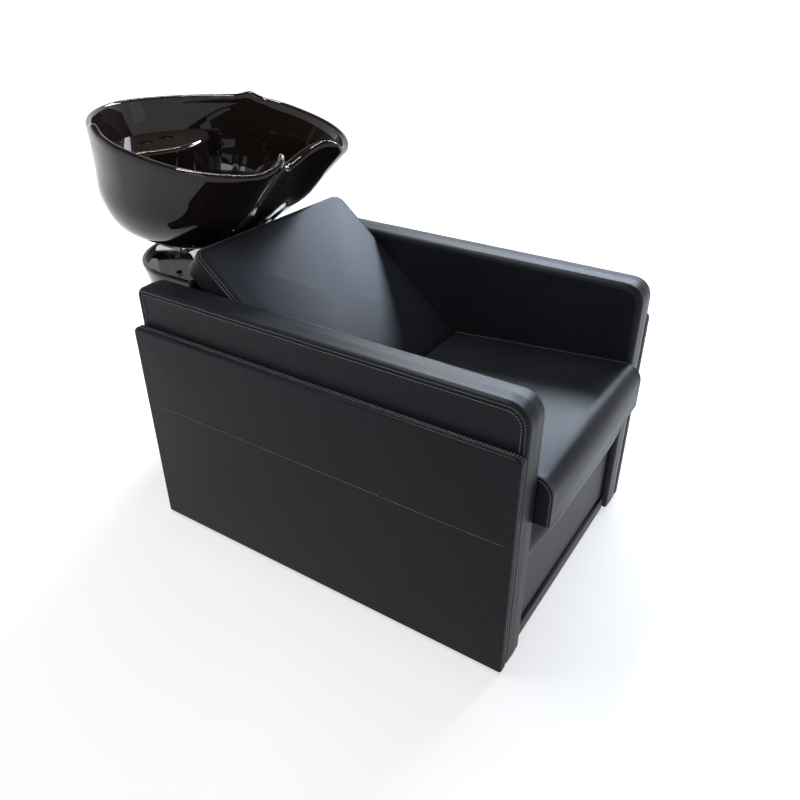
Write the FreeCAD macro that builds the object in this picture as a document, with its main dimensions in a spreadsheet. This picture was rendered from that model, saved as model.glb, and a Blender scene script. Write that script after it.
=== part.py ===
"""Backwash unit: an upholstered armchair with a tilting ceramic shampoo basin on a column.

Millimetres, +Z up. The sitter faces -Y, so the sitter's right arm is at -X and the basin at +Y.
The origin lies on the floor under the middle of the whole unit.
"""
import FreeCAD, Part
import math
import os
import re
from types import SimpleNamespace

from FreeCAD import Placement, Rotation, Vector

# Driving dimensions
SIZES = {
    # whole unit
    "unit_length": 1282,
    "floor_gap": 5,
    "overrun": 20,
    "soft_gap": 0.5,
    "fit_gap": 0.2,
    "least_bow": 0.5,
    # arms
    "inner_width": 491,
    "seat_overhang": 36,
    "arm_thickness": 68,
    "arm_lap": 74,
    "arm_height": 590,
    "arm_front_radius": 42,
    "arm_rear_radius": 20,
    "arm_edge_radius": 9,
    "arm_padding": 12,
    "arm_lining": 6,
    "arm_top_padding": 18,
    "post_width": 60,
    "frame_rail_height": 60,
    # outer side panels
    "panel_thickness": 22,
    "panel_lap": 81,
    "panel_height": 503,
    "panel_corner_radius": 12,
    "panel_edge_radius": 7,
    "panel_board_thickness": 12,
    "panel_wrap": 10,
    # glides
    "glide_radius": 15,
    "glide_inset": 42,
    # cross rails
    "plinth_setback": 9,
    "plinth_thickness": 25,
    "plinth_height": 36,
    "rail_thickness": 40,
    "rail_height": 60,
    "rail_bolt_radius": 4,
    "rail_bolt_bite": 45,
    # apron under the seat
    "apron_setback": 15,
    "apron_padding": 10,
    "apron_board_thickness": 12,
    "apron_gap": 4,
    "apron_top_gap": 2,
    "apron_edge_radius": 4,
    "apron_flare_height": 205,
    "apron_flare": 38,
    "apron_flare_bow": 8,
    # seat
    "seat_bottom": 311,
    "seat_front_height": 415,
    "seat_rear_height": 378,
    "seat_crown": 12,
    "seat_bulge": 9,
    "seat_front_radius": 44,
    "seat_lower_radius": 6,
    "seat_draw": 6,
    "seat_board_thickness": 15,
    "seat_board_setback": 40,
    "seat_board_rear_gap": 8,
    "seat_rail_inset": 20,
    "seat_screw_radius": 3,
    "seat_screw_length": 45,
    "seat_screw_inset": 60,
    # back
    "back_angle": 40,
    "back_face_length": 453,
    "back_thickness": 62,
    "back_crown": 10,
    "back_draw": 6,
    "back_edge_radius": 10,
    "back_gap": 1,
    "back_room": 368,
    "back_basin_gap": 27,
    "back_board_thickness": 12,
    "back_board_foot": 40,
    "back_board_length": 345,
    "cleat_width": 30,
    "cleat_depth": 30,
    "cleat_foot": 60,
    "cleat_length": 270,
    "rear_panel_thickness": 12,
    "rear_panel_height": 596,
    "rear_panel_edge_radius": 3,
    "rear_gap": 7,
    # column shell
    "column_depth": 325,
    "column_half_width": 188,
    "column_height": 558,
    "column_wall": 4,
    "column_taper": 26,
    "column_neck_inset": 10,
    "column_neck_height": 512,
    "column_rim_drop": 8,
    "column_front_radius": 18,
    "column_rear_flat": 4,
    "column_lip_width": 9,
    "column_recess": 12,
    "column_top_thickness": 6,
    "lip_edge_radius": 4,
    "hose_hole_radius": 15,
    "hose_hole_spacing": 182,
    "hose_hole_setback": 60,
    "drain_slot_width": 96,
    "drain_slot_length": 78,
    # access cover at the back of the column
    "window_width": 110,
    "window_foot": 90,
    "window_height": 300,
    "cover_lap": 16,
    "cover_thickness": 3,
    "cover_screw_radius": 2,
    "cover_screw_length": 14,
    "cover_head_radius": 4.5,
    "cover_head_height": 2.5,
    # steelwork inside the column
    "tube_size": 60,
    "tube_wall": 3,
    "foot_plate_width": 180,
    "foot_plate_room": 38,
    "plate_thickness": 6,
    "head_plate_width": 170,
    "link_bar_width": 30,
    "link_bar_spacing": 150,
    # tilt bracket
    "pivot_setback": 185,
    "bracket_width": 210,
    "bracket_front": 55,
    "bracket_rear": 67,
    "bracket_wall": 5,
    "bracket_height": 38,
    "bracket_corner_radius": 18,
    "bracket_bolt_radius": 4,
    "bracket_bolt_inset_x": 26,
    "bracket_bolt_inset_y": 12,
    "hex_height": 6,
    "hex_radius": 7.5,
    "pivot_height": 24,
    "pivot_radius": 5,
    "pivot_clearance": 0.05,
    "pivot_nut_radius": 9,
    "pivot_nut_height": 8,
    "washer_radius": 11,
    "washer_thickness": 1.8,
    "washer_gap": 0.1,
    # cradle
    "cradle_length": 100,
    "cradle_thickness": 6,
    "cradle_height": 48,
    "lug_thickness": 6,
    "lug_radius": 12,
    "gasket_thickness": 4,
    "cradle_bolt_spacing_x": 90,
    "cradle_bolt_spacing_y": 70,
    "cradle_bolt_radius": 4,
    "cradle_bolt_bite": 16,
    # basin
    "basin_length": 595,
    "basin_rear_reach": 241,
    "basin_half_width": 269,
    "basin_widest_setback": 315,
    "basin_foot_front": 132,
    "basin_foot_rear": 81,
    "basin_rear_height": 273,
    "basin_front_drop": 65,
    "basin_bump_height": 7.5,
    "basin_bump_width": 22,
    "basin_bump_setback": 208,
    "basin_front_setback": 31,
    "basin_wall": 16,
    "rim_radius": 7,
    "horn_rise": 33,
    "horn_offset": 64,
    "horn_width": 42,
    "horn_reach": 200,
    "neck_dip": 30,
    "neck_depth": 74,
    "neck_half_width": 104,
    "neck_lip": 14,
    "basin_floor": 22,
    "drain_setback": 90,
    "drain_flat_radius": 40,
    "drain_hole_radius": 22.5,
    "deck_height": 194,
    "deck_radius": 170,
    "deck_setback": 46,
    "deck_wall": 15,
    "tap_hole_radius": 17,
    "tap_hole_spacing": 62,
    "tap_hole_setback": 113,
    "deck_access_radius": 46,
    # waste
    "waste_radius": 22,
    "waste_bore": 18,
    "waste_length": 46,
    "strainer_radius": 34,
    "strainer_thickness": 3,
    "strainer_hole_radius": 3.4,
    "strainer_hole_circle": 11,
    "seal_radius": 32,
    "seal_thickness": 3,
    "waste_nut_radius": 34,
    "waste_nut_height": 10,
    "tail_radius": 20,
    "tail_length": 46,
}

# Lengths that follow from the driving ones, so that chair, column and basin keep together
FOLLOWING = {
    "column_front": "unit_length/2 - basin_rear_reach - pivot_setback",
    "column_rear_radius": "column_half_width - column_rear_flat/2",
    "arm_length": "column_front + arm_lap + unit_length/2 - seat_overhang",
    "panel_length": "column_front + panel_lap + unit_length/2 - seat_overhang",
    "foot_height": "column_height - column_recess + cradle_height + cradle_thickness + gasket_thickness",
    "back_run": "back_face_length*cos(back_angle)",
    "back_rise": "seat_rear_height + back_face_length*sin(back_angle) - foot_height",
    "basin_room": "unit_length/2 - basin_rear_reach - basin_foot_front"
                  " - back_rise - back_run - back_basin_gap",
    "panel_room": "column_front - rear_gap - rear_panel_thickness - back_room",
    "seat_depth": "min(panel_room, basin_room) + unit_length/2",
}

# Places that many pieces share, as expressions of the sizes
ARM_IN = "inner_width/2"
ARM_OUT = "(inner_width/2 + arm_thickness)"
PANEL_OUT = "(inner_width/2 + arm_thickness + panel_thickness)"
ARM_FRONT = "(seat_overhang - unit_length/2)"
ARM_REAR = "(seat_overhang - unit_length/2 + arm_length)"
FRAME_IN = "(inner_width/2 + arm_padding)"
FRAME_OUT = "(inner_width/2 + arm_thickness - arm_lining)"
FRAME_FRONT = "(seat_overhang - unit_length/2 + arm_padding)"
FRAME_REAR = "(seat_overhang - unit_length/2 + arm_length - arm_padding)"
FRAME_TOP = "(arm_height - arm_top_padding)"
SEAT_REAR = "(seat_depth - unit_length/2)"
RAIL_TOP = "(seat_bottom - seat_board_thickness)"
APRON_BACK = f"({ARM_FRONT} + apron_setback + apron_padding + apron_board_thickness)"
PANEL_REAR = "(column_front - rear_gap)"
PIVOT_Y = "(column_front + pivot_setback)"
RECESS = "(column_height - column_recess)"
TOP_UNDER = f"({RECESS} - column_top_thickness)"
PIVOT_Z = f"({RECESS} + pivot_height)"
CHEEK_OUT = "bracket_width/2"
CHEEK_IN = "(bracket_width/2 - bracket_wall)"
LUG_OUT = f"({CHEEK_IN} - washer_thickness - 2*washer_gap)"
LUG_IN = f"({LUG_OUT} - lug_thickness)"
CRADLE_LOW = f"({RECESS} + cradle_height)"
CRADLE_TOP = f"({CRADLE_LOW} + cradle_thickness)"
FOOT = f"({CRADLE_TOP} + gasket_thickness)"
DRAIN_Y = f"({PIVOT_Y} - drain_setback)"
DRAIN_FLAT = f"({FOOT} + basin_floor)"

SIDES = ("right", "left")
SAME_PLACE = 0.01
SAME_DIRECTION = 1e-6
TURN = {
    "x": Rotation(Vector(0, 1, 0), 90),
    "y": Rotation(Vector(1, 0, 0), -90),
    "z": Rotation(),
}

doc = FreeCAD.newDocument("backwash_unit")
sheet = doc.addObject("Spreadsheet::Sheet", "Sizes")
CELLS = {**SIZES, **{alias: f"={text}" for alias, text in FOLLOWING.items()}}
for row, (alias, content) in enumerate(CELLS.items(), start=1):
    sheet.set(f"A{row}", alias)
    sheet.set(f"B{row}", str(content))
    sheet.setAlias(f"B{row}", alias)
doc.recompute()
S = SimpleNamespace(**{alias: float(sheet.get(alias)) for alias in CELLS})
nodes = []


def bound(text):
    """Expression whose size names point at their sheet cells."""
    def cell(word):
        return f"Sizes.{word.group()}" if word.group() in CELLS else word.group()

    return re.sub(r"[a-z_]+", cell, text)


def bind(thing, **sizes):
    """Bind properties of an object to expressions of the sizes."""
    for name, text in sizes.items():
        thing.setExpression(name, bound(text))
    return thing


def place(thing, centre, axis="z"):
    """Put an object at a bound point, with its own Z turned to an axis."""
    thing.Placement = Placement(Vector(), TURN[axis])
    for letter, text in zip("xyz", centre):
        thing.setExpression(f"Placement.Base.{letter}", bound(text))
    return thing


def block(name, x, y, z):
    """Box between a low and a high bound on each axis."""
    solid = doc.addObject("Part::Box", name)
    for side, (low, high) in zip(("Length", "Width", "Height"), (x, y, z)):
        solid.setExpression(side, bound(f"({high}) - ({low})"))
    return place(solid, (x[0], y[0], z[0]))


def rod(name, axis, centre, radius, length):
    """Round rod that starts at a point and runs along an axis."""
    solid = bind(doc.addObject("Part::Cylinder", name), Radius=radius, Height=length)
    return place(solid, centre, axis)


def hexagon(name, axis, centre, radius, length):
    """Six-sided prism that starts at a point and runs along an axis."""
    solid = bind(doc.addObject("Part::Prism", name), Circumradius=radius, Height=length)
    return place(solid, centre, axis)


def group(name, things):
    """Separate solids kept together as one object."""
    bundle = doc.addObject("Part::Compound", name)
    bundle.Links = list(things)
    return bundle


def cut(name, base, *tools):
    """Base with the tools taken away."""
    result = doc.addObject("Part::Cut", name)
    result.Base = base
    result.Tool = tools[0] if len(tools) == 1 else group(name + "_tools", tools)
    return result


def fuse(name, *things):
    """One solid made of things that touch."""
    result = doc.addObject("Part::MultiFuse", name)
    result.Shapes = list(things)
    result.Refine = True
    return result


def rounded(name, base, radius_of):
    """Base with each edge rounded by the radius that a rule gives it, or left sharp for zero."""
    doc.recompute()
    radii = [(number, radius_of(edge)) for number, edge in enumerate(base.Shape.Edges, start=1)]
    result = doc.addObject("Part::Fillet", name)
    result.Base = base
    result.Edges = [(number, radius, radius) for number, radius in radii if radius]
    return result


def formed(name, shape):
    """Object that holds a shape worked out from the sheet's values."""
    thing = doc.addObject("Part::Feature", name)
    thing.Shape = shape
    return thing


def keep(label, thing):
    """Name an object as a sub-part of the unit."""
    thing.Label = label
    nodes.append(thing)
    return thing


def sided(side, low, high):
    """Bounds on the sitter's left, or the same mirrored to the right."""
    return (low, high) if side == "left" else (f"-({high})", f"-({low})")


def across(half):
    """Bounds that reach equally to both sides."""
    return (f"-({half})", half)


def along(edge, axis):
    """True where a straight edge runs along an axis."""
    direction = edge.tangentAt(edge.FirstParameter)
    return isinstance(edge.Curve, Part.Line) and abs(abs(direction[axis]) - 1) < SAME_DIRECTION


def lies_at(edge, axis, value):
    """True where a whole edge lies at one value of a coordinate."""
    box = edge.BoundBox
    low, high = ((box.XMin, box.XMax), (box.YMin, box.YMax), (box.ZMin, box.ZMax))[axis]
    return max(abs(low - value), abs(high - value)) < SAME_PLACE


def corner_points(spacing_x, spacing_y, centre_y):
    """The four places of a rectangular bolt pattern, as bound points in plan."""
    return [(f"{sx}({spacing_x})/2", f"{centre_y} {sy} ({spacing_y})/2") for sx in "-+" for sy in "-+"]


# Cross bolts that tie the rails to the arm frames
SEAT_RAIL_ROWS = (
    ("front_seat_rail", APRON_BACK),
    ("rear_seat_rail", f"({SEAT_REAR} - seat_rail_inset - rail_thickness)"),
)
RAIL_SPANS = {name: ((start, f"{start} + rail_thickness"), (f"{RAIL_TOP} - rail_height", RAIL_TOP))
              for name, start in SEAT_RAIL_ROWS}
RAIL_SPANS["front_plinth"] = (
    (f"{ARM_FRONT} + plinth_setback", f"{ARM_FRONT} + plinth_setback + plinth_thickness"),
    ("floor_gap", "floor_gap + plinth_height"),
)
RAIL_SPANS["rear_base_rail"] = (
    (f"{PANEL_REAR} - rear_panel_thickness - rail_thickness", f"{PANEL_REAR} - rear_panel_thickness"),
    ("floor_gap", "floor_gap + rail_height"),
)
BOLT_START = f"({ARM_IN} - rail_bolt_bite)"
BOLT_LENGTH = f"({FRAME_OUT} - ({BOLT_START}))"


def cross_bolts(side, radius):
    """Bolts of one side, one into each rail's end, from the arm frame's outer face."""
    for name, ((front, rear), (low, high)) in RAIL_SPANS.items():
        start = BOLT_START if side == "left" else f"-({FRAME_OUT})"
        centre = (start, f"({front} + {rear})/2", f"({low} + {high})/2")
        yield rod(f"{name}_bolt", "x", centre, radius, BOLT_LENGTH)


def bolt_holes(side):
    """Clearance holes for the cross bolts of one side."""
    return list(cross_bolts(side, "rail_bolt_radius + fit_gap"))


def make_arm(side):
    """Arm cover with its timber frame inside, open underneath."""
    front = S.seat_overhang - S.unit_length / 2
    faces = [S.inner_width / 2, S.inner_width / 2 + S.arm_thickness]
    if side == "right":
        faces = [-face for face in faces]

    def end_radius(edge):
        if not (along(edge, 0) and lies_at(edge, 2, S.arm_height)):
            return 0
        return S.arm_front_radius if lies_at(edge, 1, front) else S.arm_rear_radius

    def side_radius(edge):
        on_side = any(lies_at(edge, 0, face) for face in faces)
        return S.arm_edge_radius if on_side and not lies_at(edge, 2, S.floor_gap) else 0

    body = block(f"arm_body_{side}", sided(side, ARM_IN, ARM_OUT), (ARM_FRONT, ARM_REAR),
                 ("floor_gap", "arm_height"))
    body = rounded(f"arm_ends_{side}", body, end_radius)
    body = rounded(f"arm_form_{side}", body, side_radius)
    hollow = block(f"arm_hollow_{side}", sided(side, FRAME_IN, FRAME_OUT), (FRAME_FRONT, FRAME_REAR),
                   ("floor_gap - overrun", FRAME_TOP))
    keep(f"arm_cover_{side}", cut(f"arm_cover_{side}", body, hollow, *bolt_holes(side)))

    width = sided(side, FRAME_IN, FRAME_OUT)
    seat_row = RAIL_SPANS["rear_seat_rail"][0]
    middle = f"({seat_row[0]} + {seat_row[1]})/2"
    inner = (f"{FRAME_FRONT} + post_width", f"{FRAME_REAR} - post_width")
    low_rail = ("floor_gap", "floor_gap + frame_rail_height")
    top_rail = (f"{FRAME_TOP} - frame_rail_height", FRAME_TOP)
    members = {
        "front_post": ((FRAME_FRONT, inner[0]), ("floor_gap", FRAME_TOP)),
        "rear_post": ((inner[1], FRAME_REAR), ("floor_gap", FRAME_TOP)),
        "middle_post": ((f"{middle} - post_width/2", f"{middle} + post_width/2"), (low_rail[1], top_rail[0])),
        "bottom_rail": (inner, low_rail),
        "top_rail": (inner, top_rail),
    }
    for name, (depth, height) in members.items():
        timber = block(f"{name}_blank_{side}", width, depth, height)
        if name != "top_rail" and name != "rear_post":
            timber = cut(f"{name}_{side}", timber, *bolt_holes(side))
        keep(f"arm_{name}_{side}", timber)


def make_side_panel(side):
    """Padded outer panel wrapped over a flat board."""
    outer = S.inner_width / 2 + S.arm_thickness + S.panel_thickness
    outer = outer if side == "left" else -outer

    def edge_radius(edge):
        return S.panel_edge_radius if lies_at(edge, 0, outer) else 0

    def corner_radius(edge):
        return S.panel_corner_radius if along(edge, 0) else 0

    body = block(f"panel_body_{side}", sided(side, ARM_OUT, PANEL_OUT),
                 (ARM_FRONT, f"{ARM_FRONT} + panel_length"), ("floor_gap", "panel_height"))
    body = rounded(f"panel_corners_{side}", body, corner_radius)
    body = rounded(f"panel_form_{side}", body, edge_radius)
    board = block(f"side_board_{side}", sided(side, ARM_OUT, f"{ARM_OUT} + panel_board_thickness"),
                  (f"{ARM_FRONT} + panel_wrap", f"{ARM_FRONT} + panel_length - panel_wrap"),
                  ("floor_gap + panel_wrap", "panel_height - panel_wrap"))
    keep(f"side_panel_{side}", cut(f"side_panel_{side}", body, board))
    keep(f"side_board_{side}", board)


def make_rails():
    """Cross rails between the arms, their bolts and the glides."""
    screw_holes = list(seat_screws("seat_screw_radius + fit_gap"))
    for name, (depth, height) in RAIL_SPANS.items():
        rail = block(f"{name}_blank", across(ARM_IN), depth, height)
        tools = bolt_holes("left") + bolt_holes("right") + screw_holes
        keep(name, cut(name, rail, *tools))
    bolts = [bolt for side in SIDES for bolt in cross_bolts(side, "rail_bolt_radius")]
    keep("cross_bolts", group("cross_bolts", bolts))
    arm_middle = f"({FRAME_IN} + {FRAME_OUT})/2"
    rows = (f"{FRAME_FRONT} + glide_inset", f"{FRAME_REAR} - glide_inset")
    glides = [rod("glide", "z", (f"{sign}{arm_middle}", row, "0"), "glide_radius", "floor_gap")
              for sign in "-+" for row in rows]
    keep("glides", group("glides", glides))


def seat_screws(radius):
    """Screws through the seat board into the seat rails."""
    for name, _ in SEAT_RAIL_ROWS:
        front, rear = RAIL_SPANS[name][0]
        for sign in "-+":
            centre = (f"{sign}({ARM_IN} - seat_screw_inset)", f"({front} + {rear})/2",
                      "seat_bottom - seat_screw_length")
            yield rod("seat_screw", "z", centre, radius, "seat_screw_length")


def make_apron():
    """Padded apron on its board, flared forward at the top to meet the cushion's front edge."""
    half_width = S.inner_width / 2 - S.soft_gap
    face = S.seat_overhang - S.unit_length / 2 + S.apron_setback
    back = face + S.apron_padding
    low = S.floor_gap + S.plinth_height + S.apron_gap
    top = S.seat_bottom - S.apron_top_gap

    def at(y, z):
        return Vector(-half_width, y, z)

    flare_start = at(face, S.apron_flare_height)
    flare_end = at(face - S.apron_flare, top)
    edges = [
        line(at(back, low), at(face, low)),
        line(at(face, low), flare_start),
        bow(flare_start, flare_end, S.apron_flare_bow),
        line(flare_end, at(back, top)),
        line(at(back, top), at(back, low)),
    ]
    section = Part.Face(Part.Wire([edge.toShape() for edge in edges]))
    pad = section.extrude(Vector(2 * half_width, 0, 0))
    foot_edges = [edge for edge in pad.Edges if lies_at(edge, 1, face) and lies_at(edge, 2, low)]
    keep("apron_pad", formed("apron_pad", pad.makeFillet(S.apron_edge_radius, foot_edges)))
    keep("apron_board", block("apron_board", across(f"{ARM_IN} - soft_gap"),
                              (f"{ARM_FRONT} + apron_setback + apron_padding", APRON_BACK),
                              ("floor_gap + plinth_height", "seat_bottom - apron_top_gap")))


SECTION_SHARES = (-1, -0.93, -0.5, 0, 0.5, 0.93, 1)


def cushion(half_width, profile):
    """Loft across the seat: a full profile in the middle, drawn in at both ends."""
    sections = []
    for share in SECTION_SHARES:
        fullness = 1 - share * share
        drawn = 1 if abs(share) == 1 else 0
        edges = profile(share * half_width, fullness, drawn)
        sections.append(Part.Wire([edge.toShape() for edge in edges]))
    return Part.makeLoft(sections, True, False)


def line(start, end):
    """Straight edge."""
    return Part.LineSegment(start, end)


def bow(start, end, rise):
    """Arc that swells to the left of its chord, seen from +X, by a rise."""
    chord = end - start
    normal = Vector(1, 0, 0).cross(chord).normalize()
    return Part.Arc(start, (start + end) * 0.5 + normal * rise, end)


def corner(start, end, turn_point):
    """Quarter-like arc between two edges that meet at a corner point."""
    centre = start + end - turn_point
    radius = (start - centre).Length
    middle = centre + (turn_point - centre).normalize() * radius
    return Part.Arc(start, middle, end)


def seat_profile(x, fullness, drawn):
    """Seat section: waterfall front, crowned top that falls towards the back."""
    inset = S.seat_draw * drawn
    front = -S.unit_length / 2 + S.seat_bulge + S.least_bow + inset
    rear = -S.unit_length / 2 + S.seat_depth
    top = S.seat_front_height - inset
    rear_top = S.seat_rear_height - inset
    low = S.seat_bottom
    wide, small = S.seat_front_radius, S.seat_lower_radius

    def at(y, z):
        return Vector(x, y, z)

    return [
        line(at(rear, low), at(front + small, low)),
        corner(at(front + small, low), at(front, low + small), at(front, low)),
        bow(at(front, low + small), at(front, top - wide), S.least_bow + S.seat_bulge * fullness),
        corner(at(front, top - wide), at(front + wide, top), at(front, top)),
        bow(at(front + wide, top), at(rear, rear_top), S.least_bow + S.seat_crown * fullness),
        line(at(rear, rear_top), at(rear, low)),
    ]


def make_seat():
    """Seat cushion on its board, with the screws that hold the board."""
    half_width = S.inner_width / 2 - S.soft_gap
    keep("seat_cushion", formed("seat_cushion", cushion(half_width, seat_profile)))
    board = block("seat_board_blank", across(f"{ARM_IN} - soft_gap"),
                  (f"{ARM_FRONT} + seat_board_setback", f"{SEAT_REAR} - seat_board_rear_gap"),
                  (RAIL_TOP, "seat_bottom"))
    keep("seat_board", cut("seat_board", board, *seat_screws("seat_screw_radius + fit_gap")))
    keep("seat_screws", group("seat_screws", seat_screws("seat_screw_radius")))


def back_frame():
    """Frame of the reclined back: Y up its face, Z out of the face, from the seat's rear edge."""
    foot = Vector(0, S.seat_depth - S.unit_length / 2 + S.back_gap, S.seat_rear_height + S.back_gap)
    return Placement(foot, Rotation(Vector(1, 0, 0), S.back_angle))


def back_profile(x, fullness, drawn):
    """Back section in its own frame: crowned face, boxed top and foot."""
    inset = S.back_draw * drawn
    face, under = -inset, -S.back_thickness
    foot, top, small = 0, S.back_face_length - inset, S.back_edge_radius

    def at(y, z):
        return Vector(x, y, z)

    return [
        line(at(foot, under), at(foot, face - small)),
        corner(at(foot, face - small), at(foot + small, face), at(foot, face)),
        bow(at(foot + small, face), at(top - small, face), S.least_bow + S.back_crown * fullness),
        corner(at(top - small, face), at(top, face - small), at(top, face)),
        line(at(top, face - small), at(top, under)),
        line(at(top, under), at(foot, under)),
    ]


def make_back():
    """Reclined back cushion on a board, two cleats and the rear panel."""
    frame = back_frame()
    half_width = S.inner_width / 2 - S.soft_gap
    pad = formed("back_cushion", cushion(half_width, back_profile))
    pad.Placement = frame
    keep("back_cushion", pad)

    board = bind(doc.addObject("Part::Box", "back_board"), Length=f"2*({ARM_IN} - soft_gap)",
                 Width="back_board_length", Height="back_board_thickness")
    under = -S.back_thickness - S.back_board_thickness
    board.Placement = frame.multiply(Placement(Vector(-half_width, S.back_board_foot, under), Rotation()))
    keep("back_board", board)
    cleats = []
    for start in (-S.inner_width / 2, S.inner_width / 2 - S.cleat_width):
        cleat = bind(doc.addObject("Part::Box", "cleat"), Length="cleat_width", Width="cleat_length",
                     Height="cleat_depth")
        place_at = Vector(start, S.cleat_foot, under - S.cleat_depth)
        cleat.Placement = frame.multiply(Placement(place_at, Rotation()))
        cleats.append(cleat)
    keep("back_cleats", group("back_cleats", cleats))
    panel = block("rear_panel_blank", across(f"{ARM_IN} - soft_gap"),
                  (f"{PANEL_REAR} - rear_panel_thickness", PANEL_REAR), ("floor_gap", "rear_panel_height"))
    rear = S.column_front - S.rear_gap
    keep("rear_panel", rounded("rear_panel", panel,
                               lambda edge: S.rear_panel_edge_radius if lies_at(edge, 1, rear) else 0))


def column_outline(height, inset):
    """Plan of the column: flat front, straight sides and a back that is almost a half circle."""
    half = S.column_half_width - inset
    front = S.column_front + min(inset, S.column_wall)
    rear = S.column_front + S.column_depth - inset
    small = S.column_front_radius
    wide = S.column_rear_radius - inset

    def at(x, y):
        return Vector(x, y, height)

    edges = [
        line(at(-half + small, front), at(half - small, front)),
        corner(at(half - small, front), at(half, front + small), at(half, front)),
        line(at(half, front + small), at(half, rear - wide)),
        corner(at(half, rear - wide), at(half - wide, rear), at(half, rear)),
        line(at(half - wide, rear), at(-half + wide, rear)),
        corner(at(-half + wide, rear), at(-half, rear - wide), at(-half, rear)),
        line(at(-half, rear - wide), at(-half, front + small)),
        corner(at(-half, front + small), at(-half + small, front), at(-half, front)),
    ]
    return Part.Wire([edge.toShape() for edge in edges])


def column_body(extra, low, high):
    """Tapered body of the column, grown or shrunk by an extra, between two heights."""
    taper = S.column_taper - extra
    neck = S.column_neck_inset - extra
    slope = (taper - neck) / S.column_neck_height
    return Part.makeLoft([column_outline(low, taper - slope * low),
                          column_outline(high, taper - slope * high)], True, True)


def upright(outline, height):
    """Prism on a flat outline."""
    return Part.Face(outline).extrude(Vector(0, 0, height))


def make_column():
    """Glossy column shell, its access cover and screws."""
    rim_low = S.column_height - S.column_rim_drop
    recess = S.column_height - S.column_recess
    body = column_body(0, 0, S.column_neck_height)
    neck = Part.makeLoft([column_outline(S.column_neck_height, S.column_neck_inset),
                          column_outline(rim_low, 0)], True, True)
    rim = upright(column_outline(rim_low, 0), S.column_rim_drop)
    rim = rim.makeFillet(S.lip_edge_radius, [edge for edge in rim.Edges if lies_at(edge, 2, S.column_height)])
    hollow = column_body(-S.column_wall, -S.overrun, S.column_neck_height)
    hollow = hollow.fuse(upright(column_outline(S.column_neck_height, S.column_neck_inset + S.column_wall),
                                 recess - S.column_top_thickness - S.column_neck_height))
    top = upright(column_outline(recess, S.column_lip_width), S.column_recess + S.overrun)
    shell = formed("column_blank", body.fuse([neck, rim]).cut(hollow).cut(top).removeSplitter())

    drain = block("drain_slot", across("drain_slot_width/2"),
                  (f"{DRAIN_Y} - drain_slot_length/2", f"{DRAIN_Y} + drain_slot_length/2 - bracket_wall"),
                  (f"{TOP_UNDER} - overrun", "column_height"))
    hose_row = "column_front + column_depth - hose_hole_setback"
    hoses = [rod("hose_hole", "z", (f"{sign}hose_hole_spacing/2", hose_row, f"{TOP_UNDER} - overrun"),
                 "hose_hole_radius", "2*overrun")
             for sign in "-+"]
    window = block("window", across("window_width/2"), (PIVOT_Y, "column_front + column_depth + overrun"),
                   ("window_foot", "window_foot + window_height"))
    bars = [block("bar_notch", (f"{sign}link_bar_spacing/2 - link_bar_width/2 - fit_gap",
                                f"{sign}link_bar_spacing/2 + link_bar_width/2 + fit_gap"),
                  ("column_front - overrun", "column_front + overrun"), ("-overrun", "floor_gap + fit_gap"))
            for sign in "-+"]
    keep("column_shell", cut("column_shell", shell, drain, *hoses, window, *bars, *bracket_bolts("fit_gap"),
                             *cover_screws("fit_gap")))

    lapped = block("cover_extent", across("window_width/2 + cover_lap"),
                   (PIVOT_Y, "column_front + column_depth + overrun"),
                   ("window_foot - cover_lap", "window_foot + window_height + cover_lap"))
    doc.recompute()
    skin = column_body(S.cover_thickness + S.fit_gap, 0, S.column_neck_height)
    skin = skin.cut(column_body(S.fit_gap, -S.overrun, S.column_neck_height + S.overrun))
    cover = formed("cover_blank", skin.common(lapped.Shape))
    keep("access_cover", cut("access_cover", cover, *cover_screws("fit_gap"), *cover_heads("fit_gap")))
    screws = []
    for shank, head in zip(cover_screws("0"), cover_heads("0")):
        screws.append(fuse("cover_screw", shank, head))
    keep("cover_screws", group("cover_screws", screws))


COVER_FACE = "(column_front + column_depth - column_taper)"


def cover_screw_places():
    """Places of the cover's screws on its centre line: the leaning face and the height."""
    for height in ("window_foot - cover_lap/2", "window_foot + window_height + cover_lap/2"):
        lean = f"(column_taper - column_neck_inset)*({height})/column_neck_height"
        yield f"({COVER_FACE} + {lean} + cover_thickness + fit_gap)", height


def cover_screws(clearance):
    """Shanks of the cover's screws, grown by a clearance."""
    for face, height in cover_screw_places():
        yield rod("cover_shank", "y", ("0", f"{face} - cover_screw_length", height),
                  f"cover_screw_radius + {clearance}", f"cover_screw_length + {clearance}")


def cover_heads(clearance):
    """Heads of the cover's screws, grown by a clearance for their flat seats."""
    for face, height in cover_screw_places():
        yield rod("cover_head", "y", ("0", face, height), f"cover_head_radius + {clearance}",
                  f"cover_head_height + {clearance}")


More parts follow.
